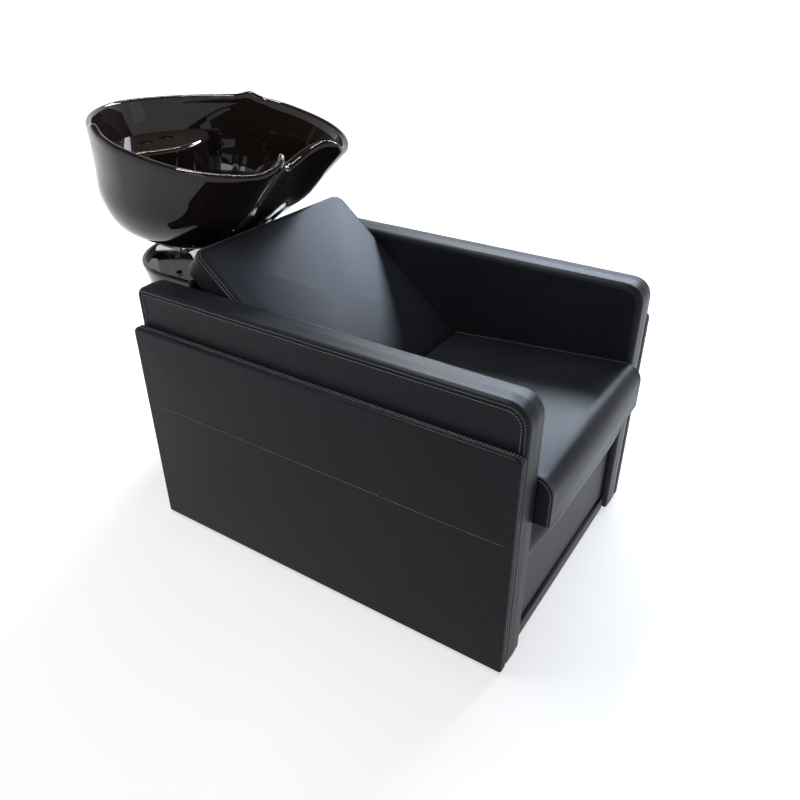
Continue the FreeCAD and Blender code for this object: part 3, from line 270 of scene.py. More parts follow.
@dataclass(kw_only=True)
class PaddedForm:
    """Padded form: an outline in a plane, carried through a thickness, with rolled edges.

    The outline lies in the plane of the first two axes and the thickness along the third. The section
    runs over the first face, its edge, the strip, the other edge and the second face.
    """

    name: str
    axes: tuple[int, int, int]
    faces: tuple[float, float]
    edge_radii: tuple[float, float]
    crowns: tuple[float, float] = (0.0, 0.0)
    crown_reach: float = 60 * MM
    strip_crown: float = 0.0
    strip_reach: float = 20 * MM
    seams: tuple[Seam, ...] = ()
    waviness: float = 0.0

    @property
    def reach(self) -> float:
        """Length of the section on each face."""
        raise NotImplementedError

    def outline(self, inset: np.ndarray) -> np.ndarray:
        """Outline drawn in by each inset, as rings of points with the same count."""
        raise NotImplementedError

    @property
    def thickness(self) -> float:
        """Distance between the two faces."""
        return abs(self.faces[1] - self.faces[0])

    @property
    def step(self) -> int:
        """Direction from the first face to the second."""
        return 1 if self.faces[1] > self.faces[0] else -1

    @property
    def ends(self) -> np.ndarray:
        """Places along the section where the first edge, the strip, the second edge and face begin."""
        first, second = self.edge_radii
        strip = self.thickness - first - second
        return np.cumsum([self.reach - first, QUARTER * first, strip, QUARTER * second])

    def section_places(self) -> np.ndarray:
        """Places along the section, close together at the edges and seams."""
        ends = self.ends
        fall = np.linspace(0.0, 1.0, FACE_STEPS) ** FACE_FALL
        strip_steps = BROAD_STRIP_STEPS
        if self.thickness < BROAD_STRIP:
            strip_steps = max(int((ends[2] - ends[1]) / STRIP_PITCH), FEWEST_STRIP_STEPS)
        runs = [ends[0] * (1 - fall), ends[3] + fall * (self.reach - self.edge_radii[1])]
        runs += [np.linspace(ends[number], ends[number + 1], steps)
                 for number, steps in enumerate((EDGE_STEPS, strip_steps, EDGE_STEPS))]
        beside = np.linspace(-SEAM_REACH, SEAM_REACH, SEAM_STEPS)
        runs += [ends[1] + seam.place + beside * seam.width for seam in self.seams]
        return np.unique(np.round(np.concatenate(runs), 6))

    def section(self, places: np.ndarray) -> tuple[np.ndarray, np.ndarray]:
        """Section of the form: inset from the outline and height over the first face, with relief.

        The base is straight on the faces and the strip, with a quarter circle at each edge. The relief
        stands along the base's normal: a crown on each face and on the strip, and a groove between two
        rolls at each seam.

        Args:
            places: Distances along the section.

        Returns:
            Inset and height for each place.
        """
        first, second = self.edge_radii
        ends = self.ends
        turn_one = np.clip((places - ends[0]) / first, 0, QUARTER)
        turn_two = np.clip((places - ends[2]) / second, 0, QUARTER)
        on_strip = np.clip(places - ends[1], 0, ends[2] - ends[1])
        on_second = np.maximum(places - ends[3], 0)
        inset = self.reach - np.minimum(places, ends[0]) - first * np.sin(turn_one)
        inset = inset + second * (1 - np.cos(turn_two)) + on_second
        height = first * (1 - np.cos(turn_one)) + on_strip + second * np.sin(turn_two)
        relief = self.crowns[0] * (1 - bell(np.maximum(ends[0] - places, 0), self.crown_reach))
        relief = relief + self.crowns[1] * (1 - bell(on_second, self.crown_reach))
        from_end = np.minimum(on_strip, ends[2] - ends[1] - on_strip)
        relief = relief + self.strip_crown * (1 - bell(from_end, self.strip_reach))
        for seam in self.seams:
            away = places - ends[1] - seam.place
            relief = relief - seam.depth * bell(away, seam.width)
            from_roll = np.abs(away) - seam.roll_place * seam.width
            relief = relief + seam.puff * bell(from_roll, seam.roll_spread * seam.width)
        turn = turn_one + turn_two
        return inset - relief * np.sin(turn), height - relief * np.cos(turn)

    def in_axes(self, *parts: np.ndarray | float) -> np.ndarray:
        """Points or directions from their parts along the form's three axes."""
        out = np.zeros(np.broadcast(*parts).shape + (3,))
        for axis, part in zip(self.axes, parts):
            out[..., axis] = part
        return out

    def surface(self, places: np.ndarray) -> np.ndarray:
        """Points of the surface for each place of the section and each point of the outline.

        Near the edges three sine waves of unlike length make the faces a little uneven.
        """
        inset, height = self.section(places)
        plan = self.outline(inset)
        run = plan[..., 0] + WAVE_SLANT * plan[..., 1]
        wave = sum(weight * np.sin(run * pace + start) for pace, start, weight in WAVES)
        outward = np.sign(height - self.thickness / 2) * bell(np.maximum(inset, 0), WAVE_REACH)
        uneven = self.waviness * wave * outward[:, None]
        depth = self.faces[0] + self.step * (height[:, None] + uneven)
        return self.in_axes(plan[..., 0], plan[..., 1], depth)

    def build(self) -> bpy.types.Object:
        """Object with the whole closed surface."""
        return tube_object(self.name, self.surface(self.section_places()))

    def seam_rows(self) -> list[StitchRow]:
        """Two rows beside each seam, as points on the surface with the outward normal at each."""
        rows = []
        for seam in self.seams:
            for offset in (-seam.row_offset, seam.row_offset):
                place = self.ends[1] + seam.place + offset
                three = self.surface(place + np.array([-1.0, 0.0, 1.0]) * SEAM_PROBE)
                along = np.roll(three[1], -1, axis=0) - np.roll(three[1], 1, axis=0)
                normal = normalised(np.cross(three[2] - three[0], along))
                outward = np.sign(np.sum(normal * (three[1] - three[1].mean(axis=0))))
                rows.append((three[1], normal * outward))
        return rows


@dataclass(kw_only=True)
class PaddedBox(PaddedForm):
    """Padded form whose outline is a rectangle with its own radius at each corner."""

    low: tuple[float, float]
    high: tuple[float, float]
    radii: tuple[float, float, float, float]
    pitch: float = 8 * MM
    corner_steps: int = 9
    corner_keep: float = 0.3
    row_steps: int = 160
    row_trim: int = 3
    cross_steps: int = 24
    cross_trim: int = 4

    @property
    def reach(self) -> float:
        """Half of the outline's smaller side."""
        return min(self.high[0] - self.low[0], self.high[1] - self.low[1]) / 2

    def outline(self, inset: np.ndarray) -> np.ndarray:
        """Rounded rectangle, drawn in by each inset, as rings of points with the same count.

        Each corner is an arc whose radius falls with the inset, and each side joins two arcs.

        Args:
            inset: Inset of each ring.

        Returns:
            Array of rings, points and two coordinates.
        """
        low, high = np.array(self.low), np.array(self.high)
        share = np.clip(inset / self.reach, 0, 1)
        corners = [(low[0], low[1], 1, 1, 180), (high[0], low[1], -1, 1, 270),
                   (high[0], high[1], -1, -1, 0), (low[0], high[1], 1, -1, 90)]
        arcs = []
        for (a, b, sign_a, sign_b, start), radius in zip(corners, self.radii):
            own = np.maximum(radius - inset, self.corner_keep * radius * (1 - share))[:, None]
            angle = np.radians(start + np.linspace(0, 90, self.corner_steps))[None, :]
            centre_a = a + sign_a * (inset[:, None] + own)
            centre_b = b + sign_b * (inset[:, None] + own)
            arc = [centre_a + own * np.cos(angle), centre_b + own * np.sin(angle)]
            arcs.append(np.stack(arc, axis=-1))
        pieces = []
        for number, arc in enumerate(arcs):
            after = arcs[(number + 1) % 4]
            steps = max(int((high - low)[number % 2] / self.pitch), 3)
            along = np.linspace(0, 1, steps + 1)[1:-1][None, :, None]
            pieces += [arc, arc[:, -1:] + (after[:, :1] - arc[:, -1:]) * along]
        return np.concatenate(pieces, axis=1)

    def face_row(self, level: float) -> StitchRow:
        """Level row across the second face, on its crown, with the normals."""
        first = np.linspace(self.low[0], self.high[0], self.row_steps)[self.row_trim:-self.row_trim]
        edge = np.minimum(first - self.low[0], self.high[0] - first) - self.edge_radii[1]
        crown = self.crowns[1] * (1 - bell(np.maximum(edge, 0), self.crown_reach))
        points = self.in_axes(first, level, self.faces[1] + self.step * crown)
        return points, self.in_axes(np.zeros(len(first)), 0.0, self.step)

    def corner_row(self) -> StitchRow:
        """Row across the strip at the middle of the last corner, with the normals."""
        lean = math.sqrt(0.5)
        inset = self.radii[3] * (1 - lean)
        across = np.linspace(*self.faces, self.cross_steps)[self.cross_trim:-self.cross_trim]
        points = self.in_axes(self.low[0] + inset, self.high[1] - inset, across)
        normals = self.in_axes(-lean, lean, np.zeros(len(across)))
        crown = self.strip_crown * np.sin(np.linspace(0, math.pi, len(across)))
        return points + normals * crown[:, None], normals


@dataclass(kw_only=True)
class CarriedProfile(PaddedForm):
    """Padded form with any closed profile, each point of which swells along its own pull."""

    profile: np.ndarray
    pull: np.ndarray
    cap: float = 0.4 * MM

    @property
    def reach(self) -> float:
        """The edge and a narrow rim of the flat end; the hole inside the rim is filled as one face."""
        return max(self.edge_radii) + self.cap

    def outline(self, inset: np.ndarray) -> np.ndarray:
        """Profile drawn in along its normals by a positive inset, or out along its pull by a negative one."""
        inward = np.maximum(inset, 0)[:, None, None] * closed_normals(self.profile)
        return self.profile - inward + np.maximum(-inset, 0)[:, None, None] * self.pull


@dataclass(frozen=True)
class Stitching:
    """Rows of sewn stitches: short rounded threads that follow a path on a cover."""

    pitch: float = 6.0 * MM
    length: float = 4.8 * MM
    radius: float = 0.55 * MM
    rings: int = 5
    bluntness: float = 0.96
    arch: float = 0.25
    sides: ClassVar[int] = 6
    end_quads: ClassVar[tuple[tuple[int, ...], ...]] = ((0, 1, 2, 3), (0, 3, 4, 5))

    def build(self, name: str, rows: list[StitchRow], closed: bool = True) -> bpy.types.Object:
        """Object with one small thread for each stitch of the rows.

        A stitch is a tube whose radius swells as a half ellipse from end to end and whose middle stands
        up on the cover in a low arch.

        Args:
            name: Name of the object.
            rows: Path points and normals of each row.
            closed: The rows close on themselves.

        Returns:
            The object that holds every stitch.
        """
        along = np.linspace(-1, 1, self.rings)
        swell = np.sqrt(np.maximum(1 - self.bluntness * along ** 2, 0))[:, None]
        angle = np.linspace(0, 2 * math.pi, self.sides, endpoint=False)[None, :]
        forward = np.repeat(along * self.length / 2, self.sides)
        sideways = (swell * np.cos(angle)).ravel() * self.radius
        upward = (swell * np.sin(angle) + self.arch * (1 - along ** 2)[:, None]).ravel() * self.radius
        blocks = []
        for path, normals in rows:
            centre = spaced(path, closed, pitch=self.pitch)
            nearest = np.argmin(np.linalg.norm(centre[:, None, :] - path[None, :, :], axis=2), axis=1)
            up = normals[nearest]
            ahead = np.roll(centre, -1, axis=0) - np.roll(centre, 1, axis=0)
            if not closed:
                ahead[0], ahead[-1] = centre[1] - centre[0], centre[-1] - centre[-2]
            ahead = normalised(ahead)
            aside = np.cross(up, ahead)
            block = centre[:, None, :] + ahead[:, None, :] * forward[None, :, None]
            block = block + aside[:, None, :] * sideways[None, :, None]
            blocks.append(block + up[:, None, :] * upward[None, :, None])
        points = np.concatenate(blocks)
        tube = grid_faces(self.rings, self.sides, wrap_columns=True)
        ends = np.array(self.end_quads)
        last = ends[:, ::-1] + (self.rings - 1) * self.sides
        own = np.concatenate([tube, ends[:, ::-1], last[:, ::-1]])
        shift = np.arange(len(points))[:, None, None] * points.shape[1]
        return mesh_object(name, points.reshape(-1, 3), (own[None] + shift).reshape(-1, 4), merge=False)


# Finishes


def new_group(name: str, inputs: dict[str, float], output: str) -> tuple[bpy.types.NodeTree, dict]:
    """Shader node group with named value inputs and one value output.

    Args:
        name: Name of the group.
        inputs: Input names with their usual values.
        output: Name of the output.

    Returns:
        The group and its inner nodes for input and output.
    """
    group = bpy.data.node_groups.new(name, "ShaderNodeTree")
    group.interface.new_socket("Vector", in_out="INPUT", socket_type="NodeSocketVector")
    for label, value in inputs.items():
        socket = group.interface.new_socket(label, in_out="INPUT", socket_type="NodeSocketFloat")
        socket.default_value = value
    group.interface.new_socket(output, in_out="OUTPUT", socket_type="NodeSocketFloat")
    return group, {"in": group.nodes.new("NodeGroupInput"), "out": group.nodes.new("NodeGroupOutput")}


def math_node(tree: bpy.types.NodeTree, operation: str, first, second=None, clamp: bool = False):
    """Math node with its two inputs linked or set.

    Args:
        tree: Node tree that gets the node.
        operation: Blender's name of the operation.
        first: Socket or number for the first input.
        second: Socket or number for the second input.
        clamp: Keeps the result between zero and one.

    Returns:
        The output socket.
    """
    node = tree.nodes.new("ShaderNodeMath")
    node.operation = operation
    node.use_clamp = clamp
    for socket, value in zip(node.inputs, (first, second)):
        if isinstance(value, (int, float)):
            socket.default_value = value
        elif value is not None:
            tree.links.new(value, socket)
    return node.outputs[0]


def weighted(tree: bpy.types.NodeTree, first, share: float, second):
    """Sum of two values, a share of the first and the rest of the second."""
    return math_node(tree, "ADD", math_node(tree, "MULTIPLY", first, share),
                     math_node(tree, "MULTIPLY", second, 1 - share))


def coordinates(tree: bpy.types.NodeTree, vector) -> bpy.types.NodeOutputs:
    """Sockets of a vector's X, Y and Z."""
    split = tree.nodes.new("ShaderNodeSeparateXYZ")
    tree.links.new(vector, split.inputs[0])
    return split.outputs


def noise(tree: bpy.types.NodeTree, vector, scale, detail: float, roughness: float = 0.5):
    """Noise texture on a vector, returning its value socket."""
    node = tree.nodes.new("ShaderNodeTexNoise")
    node.inputs["Detail"].default_value = detail
    node.inputs["Roughness"].default_value = roughness
    tree.links.new(vector, node.inputs["Vector"])
    if isinstance(scale, (int, float)):
        node.inputs["Scale"].default_value = scale
    else:
        tree.links.new(scale, node.inputs["Scale"])
    return node.outputs["Fac"]


def leather_grain_group() -> bpy.types.NodeTree:
    """Pebbled grain of leatherette: smooth cells about 1.6 mm across, broken up by fine noise."""
    group, ends = new_group("leather_grain", {"Cells": 620.0, "Fine": 2600.0}, "Height")
    vector = ends["in"].outputs["Vector"]
    cells = group.nodes.new("ShaderNodeTexVoronoi")
    cells.feature = "SMOOTH_F1"
    cells.inputs["Smoothness"].default_value = 0.6
    group.links.new(vector, cells.inputs["Vector"])
    group.links.new(ends["in"].outputs["Cells"], cells.inputs["Scale"])
    fine = noise(group, vector, ends["in"].outputs["Fine"], 3.0)
    pebble = math_node(group, "SUBTRACT", 1.0, cells.outputs["Distance"])
    height = math_node(group, "ADD", pebble, math_node(group, "MULTIPLY", fine, 0.35))
    group.links.new(height, ends["out"].inputs["Height"])
    return group


def mottle_group() -> bpy.types.NodeTree:
    """Broad soft unevenness of a finish: two sizes of noise, spread about one half."""
    group, ends = new_group("mottle", {"Broad": 5.0, "Small": 38.0}, "Value")
    vector = ends["in"].outputs["Vector"]
    broad = noise(group, vector, ends["in"].outputs["Broad"], 2.0)
    small = noise(group, vector, ends["in"].outputs["Small"], 4.0)
    group.links.new(weighted(group, broad, 0.65, small), ends["out"].inputs["Value"])
    return group


def film_group() -> bpy.types.NodeTree:
    """Fine smears on a gloss finish: a cloudy film with clear places between."""
    group, ends = new_group("smeared_film", {"Cloud": 9.0}, "Film")
    cloud = noise(group, ends["in"].outputs["Vector"], ends["in"].outputs["Cloud"], 5.0, 0.6)
    thick = math_node(group, "SUBTRACT", cloud, 0.45, clamp=True)
    film = math_node(group, "MULTIPLY", thick, 1.6, clamp=True)
    group.links.new(film, ends["out"].inputs["Film"])
    return group


@dataclass
class Paint:
    """A material under construction: its node tree, shader and object coordinates."""

    name: str
    material: bpy.types.Material = field(init=False)

    def __post_init__(self) -> None:
        """Make the material with a bare shader."""
        self.material = bpy.data.materials.new(self.name)
        self.material.use_nodes = True
        self.tree = self.material.node_tree
        self.shader = self.tree.nodes["Principled BSDF"]
        self.place = self.tree.nodes.new("ShaderNodeTexCoord").outputs["Object"]

    def set(self, **values: float) -> "Paint":
        """Set plain values on the shader's own sockets."""
        for label, value in values.items():
            self.shader.inputs[label.replace("_", " ")].default_value = value
        return self

    def group(self, group: bpy.types.NodeTree, **values: float):
        """Place a shared node group on the object coordinates and return its output socket."""
        node = self.tree.nodes.new("ShaderNodeGroup")
        node.node_tree = group
        self.tree.links.new(self.place, node.inputs["Vector"])
        for label, value in values.items():
            node.inputs[label].default_value = value
        return node.outputs[0]

    def ramp(self, socket, dark: Colour, light: Colour,
             span: tuple[float, float] = (0.3, 0.7)) -> "Paint":
        """Feed the base colour from a value: dark below its span, light above it."""
        node = self.tree.nodes.new("ShaderNodeValToRGB")
        self.tree.links.new(socket, node.inputs["Fac"])
        stops = node.color_ramp.elements
        for stop, position, colour in zip((stops[0], stops[1]), span, (dark, light)):
            stop.position, stop.color = position, (*colour, 1)
        self.tree.links.new(node.outputs["Color"], self.shader.inputs["Base Color"])
        return self

    def rough(self, socket, low: float, high: float) -> "Paint":
        """Feed the roughness from a value of zero to one, spread between two numbers."""
        node = self.tree.nodes.new("ShaderNodeMapRange")
        node.inputs["To Min"].default_value = low
        node.inputs["To Max"].default_value = high
        self.tree.links.new(socket, node.inputs["Value"])
        self.tree.links.new(node.outputs["Result"], self.shader.inputs["Roughness"])
        return self

    def bump(self, socket, depth: float, strength: float = 1.0, under=None):
        """Normal from a height, in metres, over another normal if given."""
        node = self.tree.nodes.new("ShaderNodeBump")
        node.inputs["Distance"].default_value = depth
        node.inputs["Strength"].default_value = strength
        self.tree.links.new(socket, node.inputs["Height"])
        if under is not None:
            self.tree.links.new(under, node.inputs["Normal"])
        self.tree.links.new(node.outputs["Normal"], self.shader.inputs["Normal"])
        return node.outputs["Normal"]

    def groove(self, level: float, width: float):
        """Level groove as a height: minus one on its line, nothing past its width."""
        away = math_node(self.tree, "SUBTRACT", coordinates(self.tree, self.place)["Z"], level)
        share = math_node(self.tree, "DIVIDE", math_node(self.tree, "ABSOLUTE", away), width)
        return math_node(self.tree, "SUBTRACT", math_node(self.tree, "MINIMUM", share, 1.0), 1.0)


@dataclass(frozen=True)
class Leatherette:
    """Charcoal-black leatherette with a fine pebbled grain and a soft sheen."""

    dark: Colour = (0.010, 0.0110, 0.0138)
    light: Colour = (0.016, 0.0172, 0.0212)
    roughness: tuple[float, float] = (0.33, 0.43)
    seam_level: float | None = None

    def build(self, name: str, groups: dict[str, bpy.types.NodeTree]) -> bpy.types.Material:
        """Material with mottled colour, grained bump and, if asked, one level sewn seam."""
        paint = Paint(name).set(Specular_IOR_Level=0.12)
        mottle = paint.group(groups["mottle"])
        paint.ramp(mottle, self.dark, self.light).rough(mottle, *self.roughness)
        grained = paint.bump(paint.group(groups["grain"]), 0.12 * MM, 0.55)
        if self.seam_level is not None:
            paint.bump(paint.groove(self.seam_level, 2.2 * MM), 1.4 * MM, 0.9, grained)
        return paint.material


@dataclass(frozen=True)
class GlossBlack:
    """Deep black gloss: glaze on the basin, or the moulded column."""

    dark: Colour
    light: Colour
    roughness: tuple[float, float]
    ripple: float

    def build(self, name: str, groups: dict[str, bpy.types.NodeTree]) -> bpy.types.Material:
        """Material with a mirror skin, faint waves in it and a thin smeared film."""
        paint = Paint(name).set(Specular_IOR_Level=0.34)
        mottle = paint.group(groups["mottle"], Broad=3.5, Small=16.0)
        paint.ramp(mottle, self.dark, self.light, (0.3, 0.75))
        paint.rough(paint.group(groups["film"]), *self.roughness)
        paint.bump(mottle, self.ripple, 0.5)
        return paint.material


@dataclass(frozen=True)
class Timber:
    """Plain sawn timber with long grain along the chair."""

    late: Colour = (0.34, 0.21, 0.11)
    early: Colour = (0.52, 0.36, 0.21)

    def build(self, name: str, groups: dict[str, bpy.types.NodeTree]) -> bpy.types.Material:
        """Material with stretched grain bands and open pores."""
        paint = Paint(name)
        stretch = paint.tree.nodes.new("ShaderNodeMapping")
        stretch.inputs["Scale"].default_value = (1.0, 0.06, 1.0)
        paint.tree.links.new(paint.place, stretch.inputs["Vector"])
        bands = noise(paint.tree, stretch.outputs["Vector"], 120.0, 4.0)
        pores = paint.group(groups["mottle"], Broad=12.0, Small=300.0)
        mixed = weighted(paint.tree, bands, 0.75, pores)
        paint.ramp(mixed, self.late, self.early, (0.35, 0.65)).rough(mixed, 0.75, 0.55)
        paint.bump(mixed, 0.2 * MM, 0.5)
        return paint.material


@dataclass(frozen=True)
class Mottled:
    """Metal, rubber, moulded plastic, thread or bare ceramic: one tone with fine unevenness."""

    dark: Colour
    light: Colour
    roughness: tuple[float, float]
    broad: float = 40.0
    small: float = 900.0
    bump: float = 0.08 * MM
    bump_strength: float = 0.5
    metallic: float = 0.0

    def build(self, name: str, groups: dict[str, bpy.types.NodeTree]) -> bpy.types.Material:
        """Material with mottled colour, uneven polish and a fine bump."""
        paint = Paint(name).set(Metallic=self.metallic)
        mottle = paint.group(groups["mottle"], Broad=self.broad, Small=self.small)
        paint.ramp(mottle, self.dark, self.light).rough(mottle, *self.roughness)
        paint.bump(mottle, self.bump, self.bump_strength)
        return paint.material


PANEL_SEAM = 324 * MM
RUBBED = {"broad": 30.0, "small": 240.0, "bump": 0.05 * MM, "bump_strength": 0.4}
SPUN = {"small": 4000.0}
RECIPES = {
    Finish.LEATHERETTE: Leatherette(),
    Finish.PANEL_LEATHERETTE: Leatherette(seam_level=PANEL_SEAM),
    Finish.THREAD: Mottled((0.20, 0.20, 0.21), (0.34, 0.34, 0.35), (0.5, 0.7), **SPUN),
    # Near-black cord finish: painted shade in the crease of a seam, darker than the leatherette.
    Finish.SEAM: Mottled((0.004, 0.004, 0.005), (0.008, 0.008, 0.009), (0.6, 0.8), **SPUN),
    # Black glaze with a warm brown tint: the black is the glaze, the brown tint is a painted reflection of a
    # brown room.
    Finish.GLAZE: GlossBlack((0.008, 0.005, 0.004), (0.014, 0.010, 0.008), (0.02, 0.05), 0.5 * MM),
    Finish.BISQUE: Mottled((0.62, 0.58, 0.52), (0.74, 0.70, 0.64), (0.7, 0.85)),
    Finish.COLUMN: GlossBlack((0.005, 0.005, 0.005), (0.010, 0.010, 0.009), (0.05, 0.12), 0.4 * MM),
    Finish.CHROME: Mottled((0.42, 0.42, 0.42), (0.62, 0.61, 0.60), (0.08, 0.2), **RUBBED, metallic=1.0),
    Finish.ZINC: Mottled((0.45, 0.45, 0.44), (0.62, 0.61, 0.58), (0.25, 0.45), **RUBBED, metallic=1.0),
    Finish.STEEL: Mottled((0.03, 0.03, 0.033), (0.05, 0.05, 0.055), (0.35, 0.55), **RUBBED),
    Finish.TIMBER: Timber(),
    Finish.RUBBER: Mottled((0.015, 0.015, 0.015), (0.03, 0.03, 0.03), (0.7, 0.9)),
    Finish.PLASTIC: Mottled((0.018, 0.018, 0.018), (0.03, 0.03, 0.03), (0.35, 0.5)),
}


class Finishes:
    """Every finish of the unit, built once."""

    def __init__(self) -> None:
        """Build the shared groups and the materials."""
        groups = {"grain": leather_grain_group(), "mottle": mottle_group(), "film": film_group()}
        self.materials = {finish: recipe.build(finish.value, groups) for finish, recipe in RECIPES.items()}

    def dress(self, thing: bpy.types.Object, finish: Finish) -> bpy.types.Object:
        """Give an object one finish on all its slots."""
        thing.data.materials.clear()
        thing.data.materials.append(self.materials[finish])
        return thing


# Upholstery


def mesh_points(thing: bpy.types.Object) -> np.ndarray:
    """Corner places of an object's mesh."""
    flat = np.empty(len(thing.data.vertices) * 3, dtype=np.float32)
    thing.data.vertices.foreach_get("co", flat)
    return flat.reshape(-1, 3)


def move_points(thing: bpy.types.Object, points: np.ndarray) -> None:
    """Put the corners of an object's mesh at new places."""
    thing.data.vertices.foreach_set("co", np.ascontiguousarray(points, dtype=np.float32).ravel())
    thing.data.update()


@dataclass(frozen=True)
class Stuffing:
    """Swelling of a cushion's cover by its stuffing, found with a cloth simulation."""

    cap: float
    free: tuple[float, float, float]
    voxel: float = 6 * MM
    pressure: float = 4.0
    frames: int = 20
    spread: float = 12 * MM
    batch: int = 400

    def skin_moves(self, cover: bpy.types.Object, held) -> tuple[np.ndarray, np.ndarray]:
        """Blow up a remeshed copy of a cover from within.

        Args:
            cover: The cover, which stays as it is.
            held: Says for an array of points which of them rest on something and stay in place.

        Returns:
            The copy's points before, and how far each moved.
        """
        scene = bpy.context.scene
        skin = bpy.data.objects.new(f"{cover.name}_skin", cover.data.copy())
        scene.collection.objects.link(skin)
        remesh = skin.modifiers.new("remesh", "REMESH")
        remesh.mode, remesh.voxel_size = "VOXEL", self.voxel
        applied(skin)
        start = mesh_points(skin)
        skin.vertex_groups.new(name="held").add(np.flatnonzero(held(start)).tolist(), 1.0, "REPLACE")
        cloth = skin.modifiers.new("cloth", "CLOTH").settings
        cloth.vertex_group_mass = "held"
        cloth.use_pressure = True
        cloth.uniform_pressure_force = self.pressure
        cloth.effector_weights.gravity = 0.0
        for number in range(1, self.frames + 1):
            scene.frame_set(number)
        applied(skin)
        moved = mesh_points(skin) - start
        bpy.data.objects.remove(skin)
        scene.frame_set(1)
        return start, moved

    def swell(self, cover: bpy.types.Object, held, followers: list[bpy.types.Object]) -> None:
        """Move a cover and its stitches as the simulated skin moved.

        Each move is capped by a hyperbolic tangent and kept to the free directions. A corner moves by the
        mean of the moves round it, weighted by a bell curve.

        Args:
            cover: The cover to move.
            held: Says which points stay in place.
            followers: The stitches that move with the cover.
        """
        start, moved = self.skin_moves(cover, held)
        length = np.linalg.norm(moved, axis=1, keepdims=True)
        free = np.array(self.free, dtype=np.float32)
        moved = normalised(moved) * self.cap * np.tanh(length / self.cap) * free
        LOG.info("%s swells by up to %.1f mm", cover.name, np.linalg.norm(moved, axis=1).max() / MM)
        own = np.sum(start ** 2, axis=1)[None, :]
        for thing in (cover, *followers):
            points = mesh_points(thing)
            parts = []
            for part in np.array_split(points, len(points) // self.batch + 1):
                gap = np.sum(part ** 2, axis=1)[:, None] + own - 2 * part @ start.T
                weight = np.exp(-np.maximum(gap, 0) / self.spread ** 2) + 1e-20
                parts.append(weight @ moved / weight.sum(axis=1, keepdims=True))
            move_points(thing, points + np.concatenate(parts))


@dataclass
class Upholsterer:
    """Fits covers over their solids and sews them."""

    finishes: Finishes
    stitching: Stitching = field(default_factory=Stitching)
    cord: Stitching = field(default_factory=lambda: Stitching(pitch=3.0 * MM, length=3.4 * MM))

    def keep(self, thing: bpy.types.Object) -> bpy.types.Object:
        """Put a soft piece on the chair."""
        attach(thing, Body.CHAIR.value)
        LOG.info("%s is sewn", thing.name)
        return thing

    def fit(self, form: PaddedForm, node: str, fill: float,
            finish: Finish = Finish.LEATHERETTE) -> list[bpy.types.Object]:
        """Build one padded form that stands for a node, with its stitches.

        Args:
            form: The form to build.
            node: The solid it stands for.
            fill: Not used.
            finish: Its finish.

        Returns:
            The cover and, where it has seams, its stitches.
        """
        cover = self.keep(self.finishes.dress(form.build(), finish))
        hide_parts(node)
        if not form.seams:
            return [cover]
        return [cover, self.sew(f"{form.name}_stitches", form.seam_rows())]

    def sew(self, name: str, rows: list[StitchRow], closed: bool = True) -> bpy.types.Object:
        """Stitches in thread along rows."""
        return self.keep(self.finishes.dress(self.stitching.build(name, rows, closed), Finish.THREAD))

    def join(self, name: str, row: StitchRow) -> bpy.types.Object:
        """Near-black cord where two pieces of cover meet: painted shade of the crease along their seam."""
        return self.keep(self.finishes.dress(self.cord.build(name, [row], closed=False), Finish.SEAM))


@dataclass
class ArmSide:
    """One side of the chair: the arm's cover and the padded panel outside it."""

    upholsterer: Upholsterer
    side: Side
    row_drop: float = 3 * MM

    def box(self, name: str, node: str, **looks) -> PaddedBox:
        """Padded box of a solid that stands along the chair, from its inner face to its outer one."""
        low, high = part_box(node)
        faces = (high.x, low.x) if self.side is Side.RIGHT else (low.x, high.x)
        return PaddedBox(name=f"{name}_{self.side.word}", axes=(1, 2, 0), faces=faces,
                         low=(low.y, low.z), high=(high.y, high.z), **looks)

    def build(self) -> None:
        """Arm with a double seam under its outer edge and a near-black cord of painted crease shade across
        its front corner; panel with a seam on its edge.
        """
        word = self.side.word
        arm = self.box("arm", f"arm_cover_{word}", radii=(0.004, 0.004, 0.020, 0.042),
                       edge_radii=(0.014, 0.009), crowns=(0.0, 0.001), strip_crown=0.0012,
                       waviness=0.0003, seams=(Seam(place=0.061, row_offset=3.6 * MM),))
        self.upholsterer.fit(arm, f"arm_cover_{word}", fill=0.85)
        # Near-black cord across the arm's front corner: painted shade of the cross seam's crease.
        self.upholsterer.join(f"arm_cross_seam_{word}", arm.corner_row())
        panel = self.box("panel", f"side_panel_{word}", radii=(0.004, 0.004, 0.012, 0.012),
                         edge_radii=(0.001, 0.006), crowns=(0.0, 0.0015),
                         seams=(Seam(place=0.0085, depth=1.2 * MM, width=1.4 * MM, puff=0.8 * MM),))
        self.upholsterer.fit(panel, f"side_panel_{word}", fill=0.9, finish=Finish.PANEL_LEATHERETTE)
        row = panel.face_row(PANEL_SEAM - self.row_drop)
        self.upholsterer.sew(f"panel_seam_{word}", [row], closed=False)


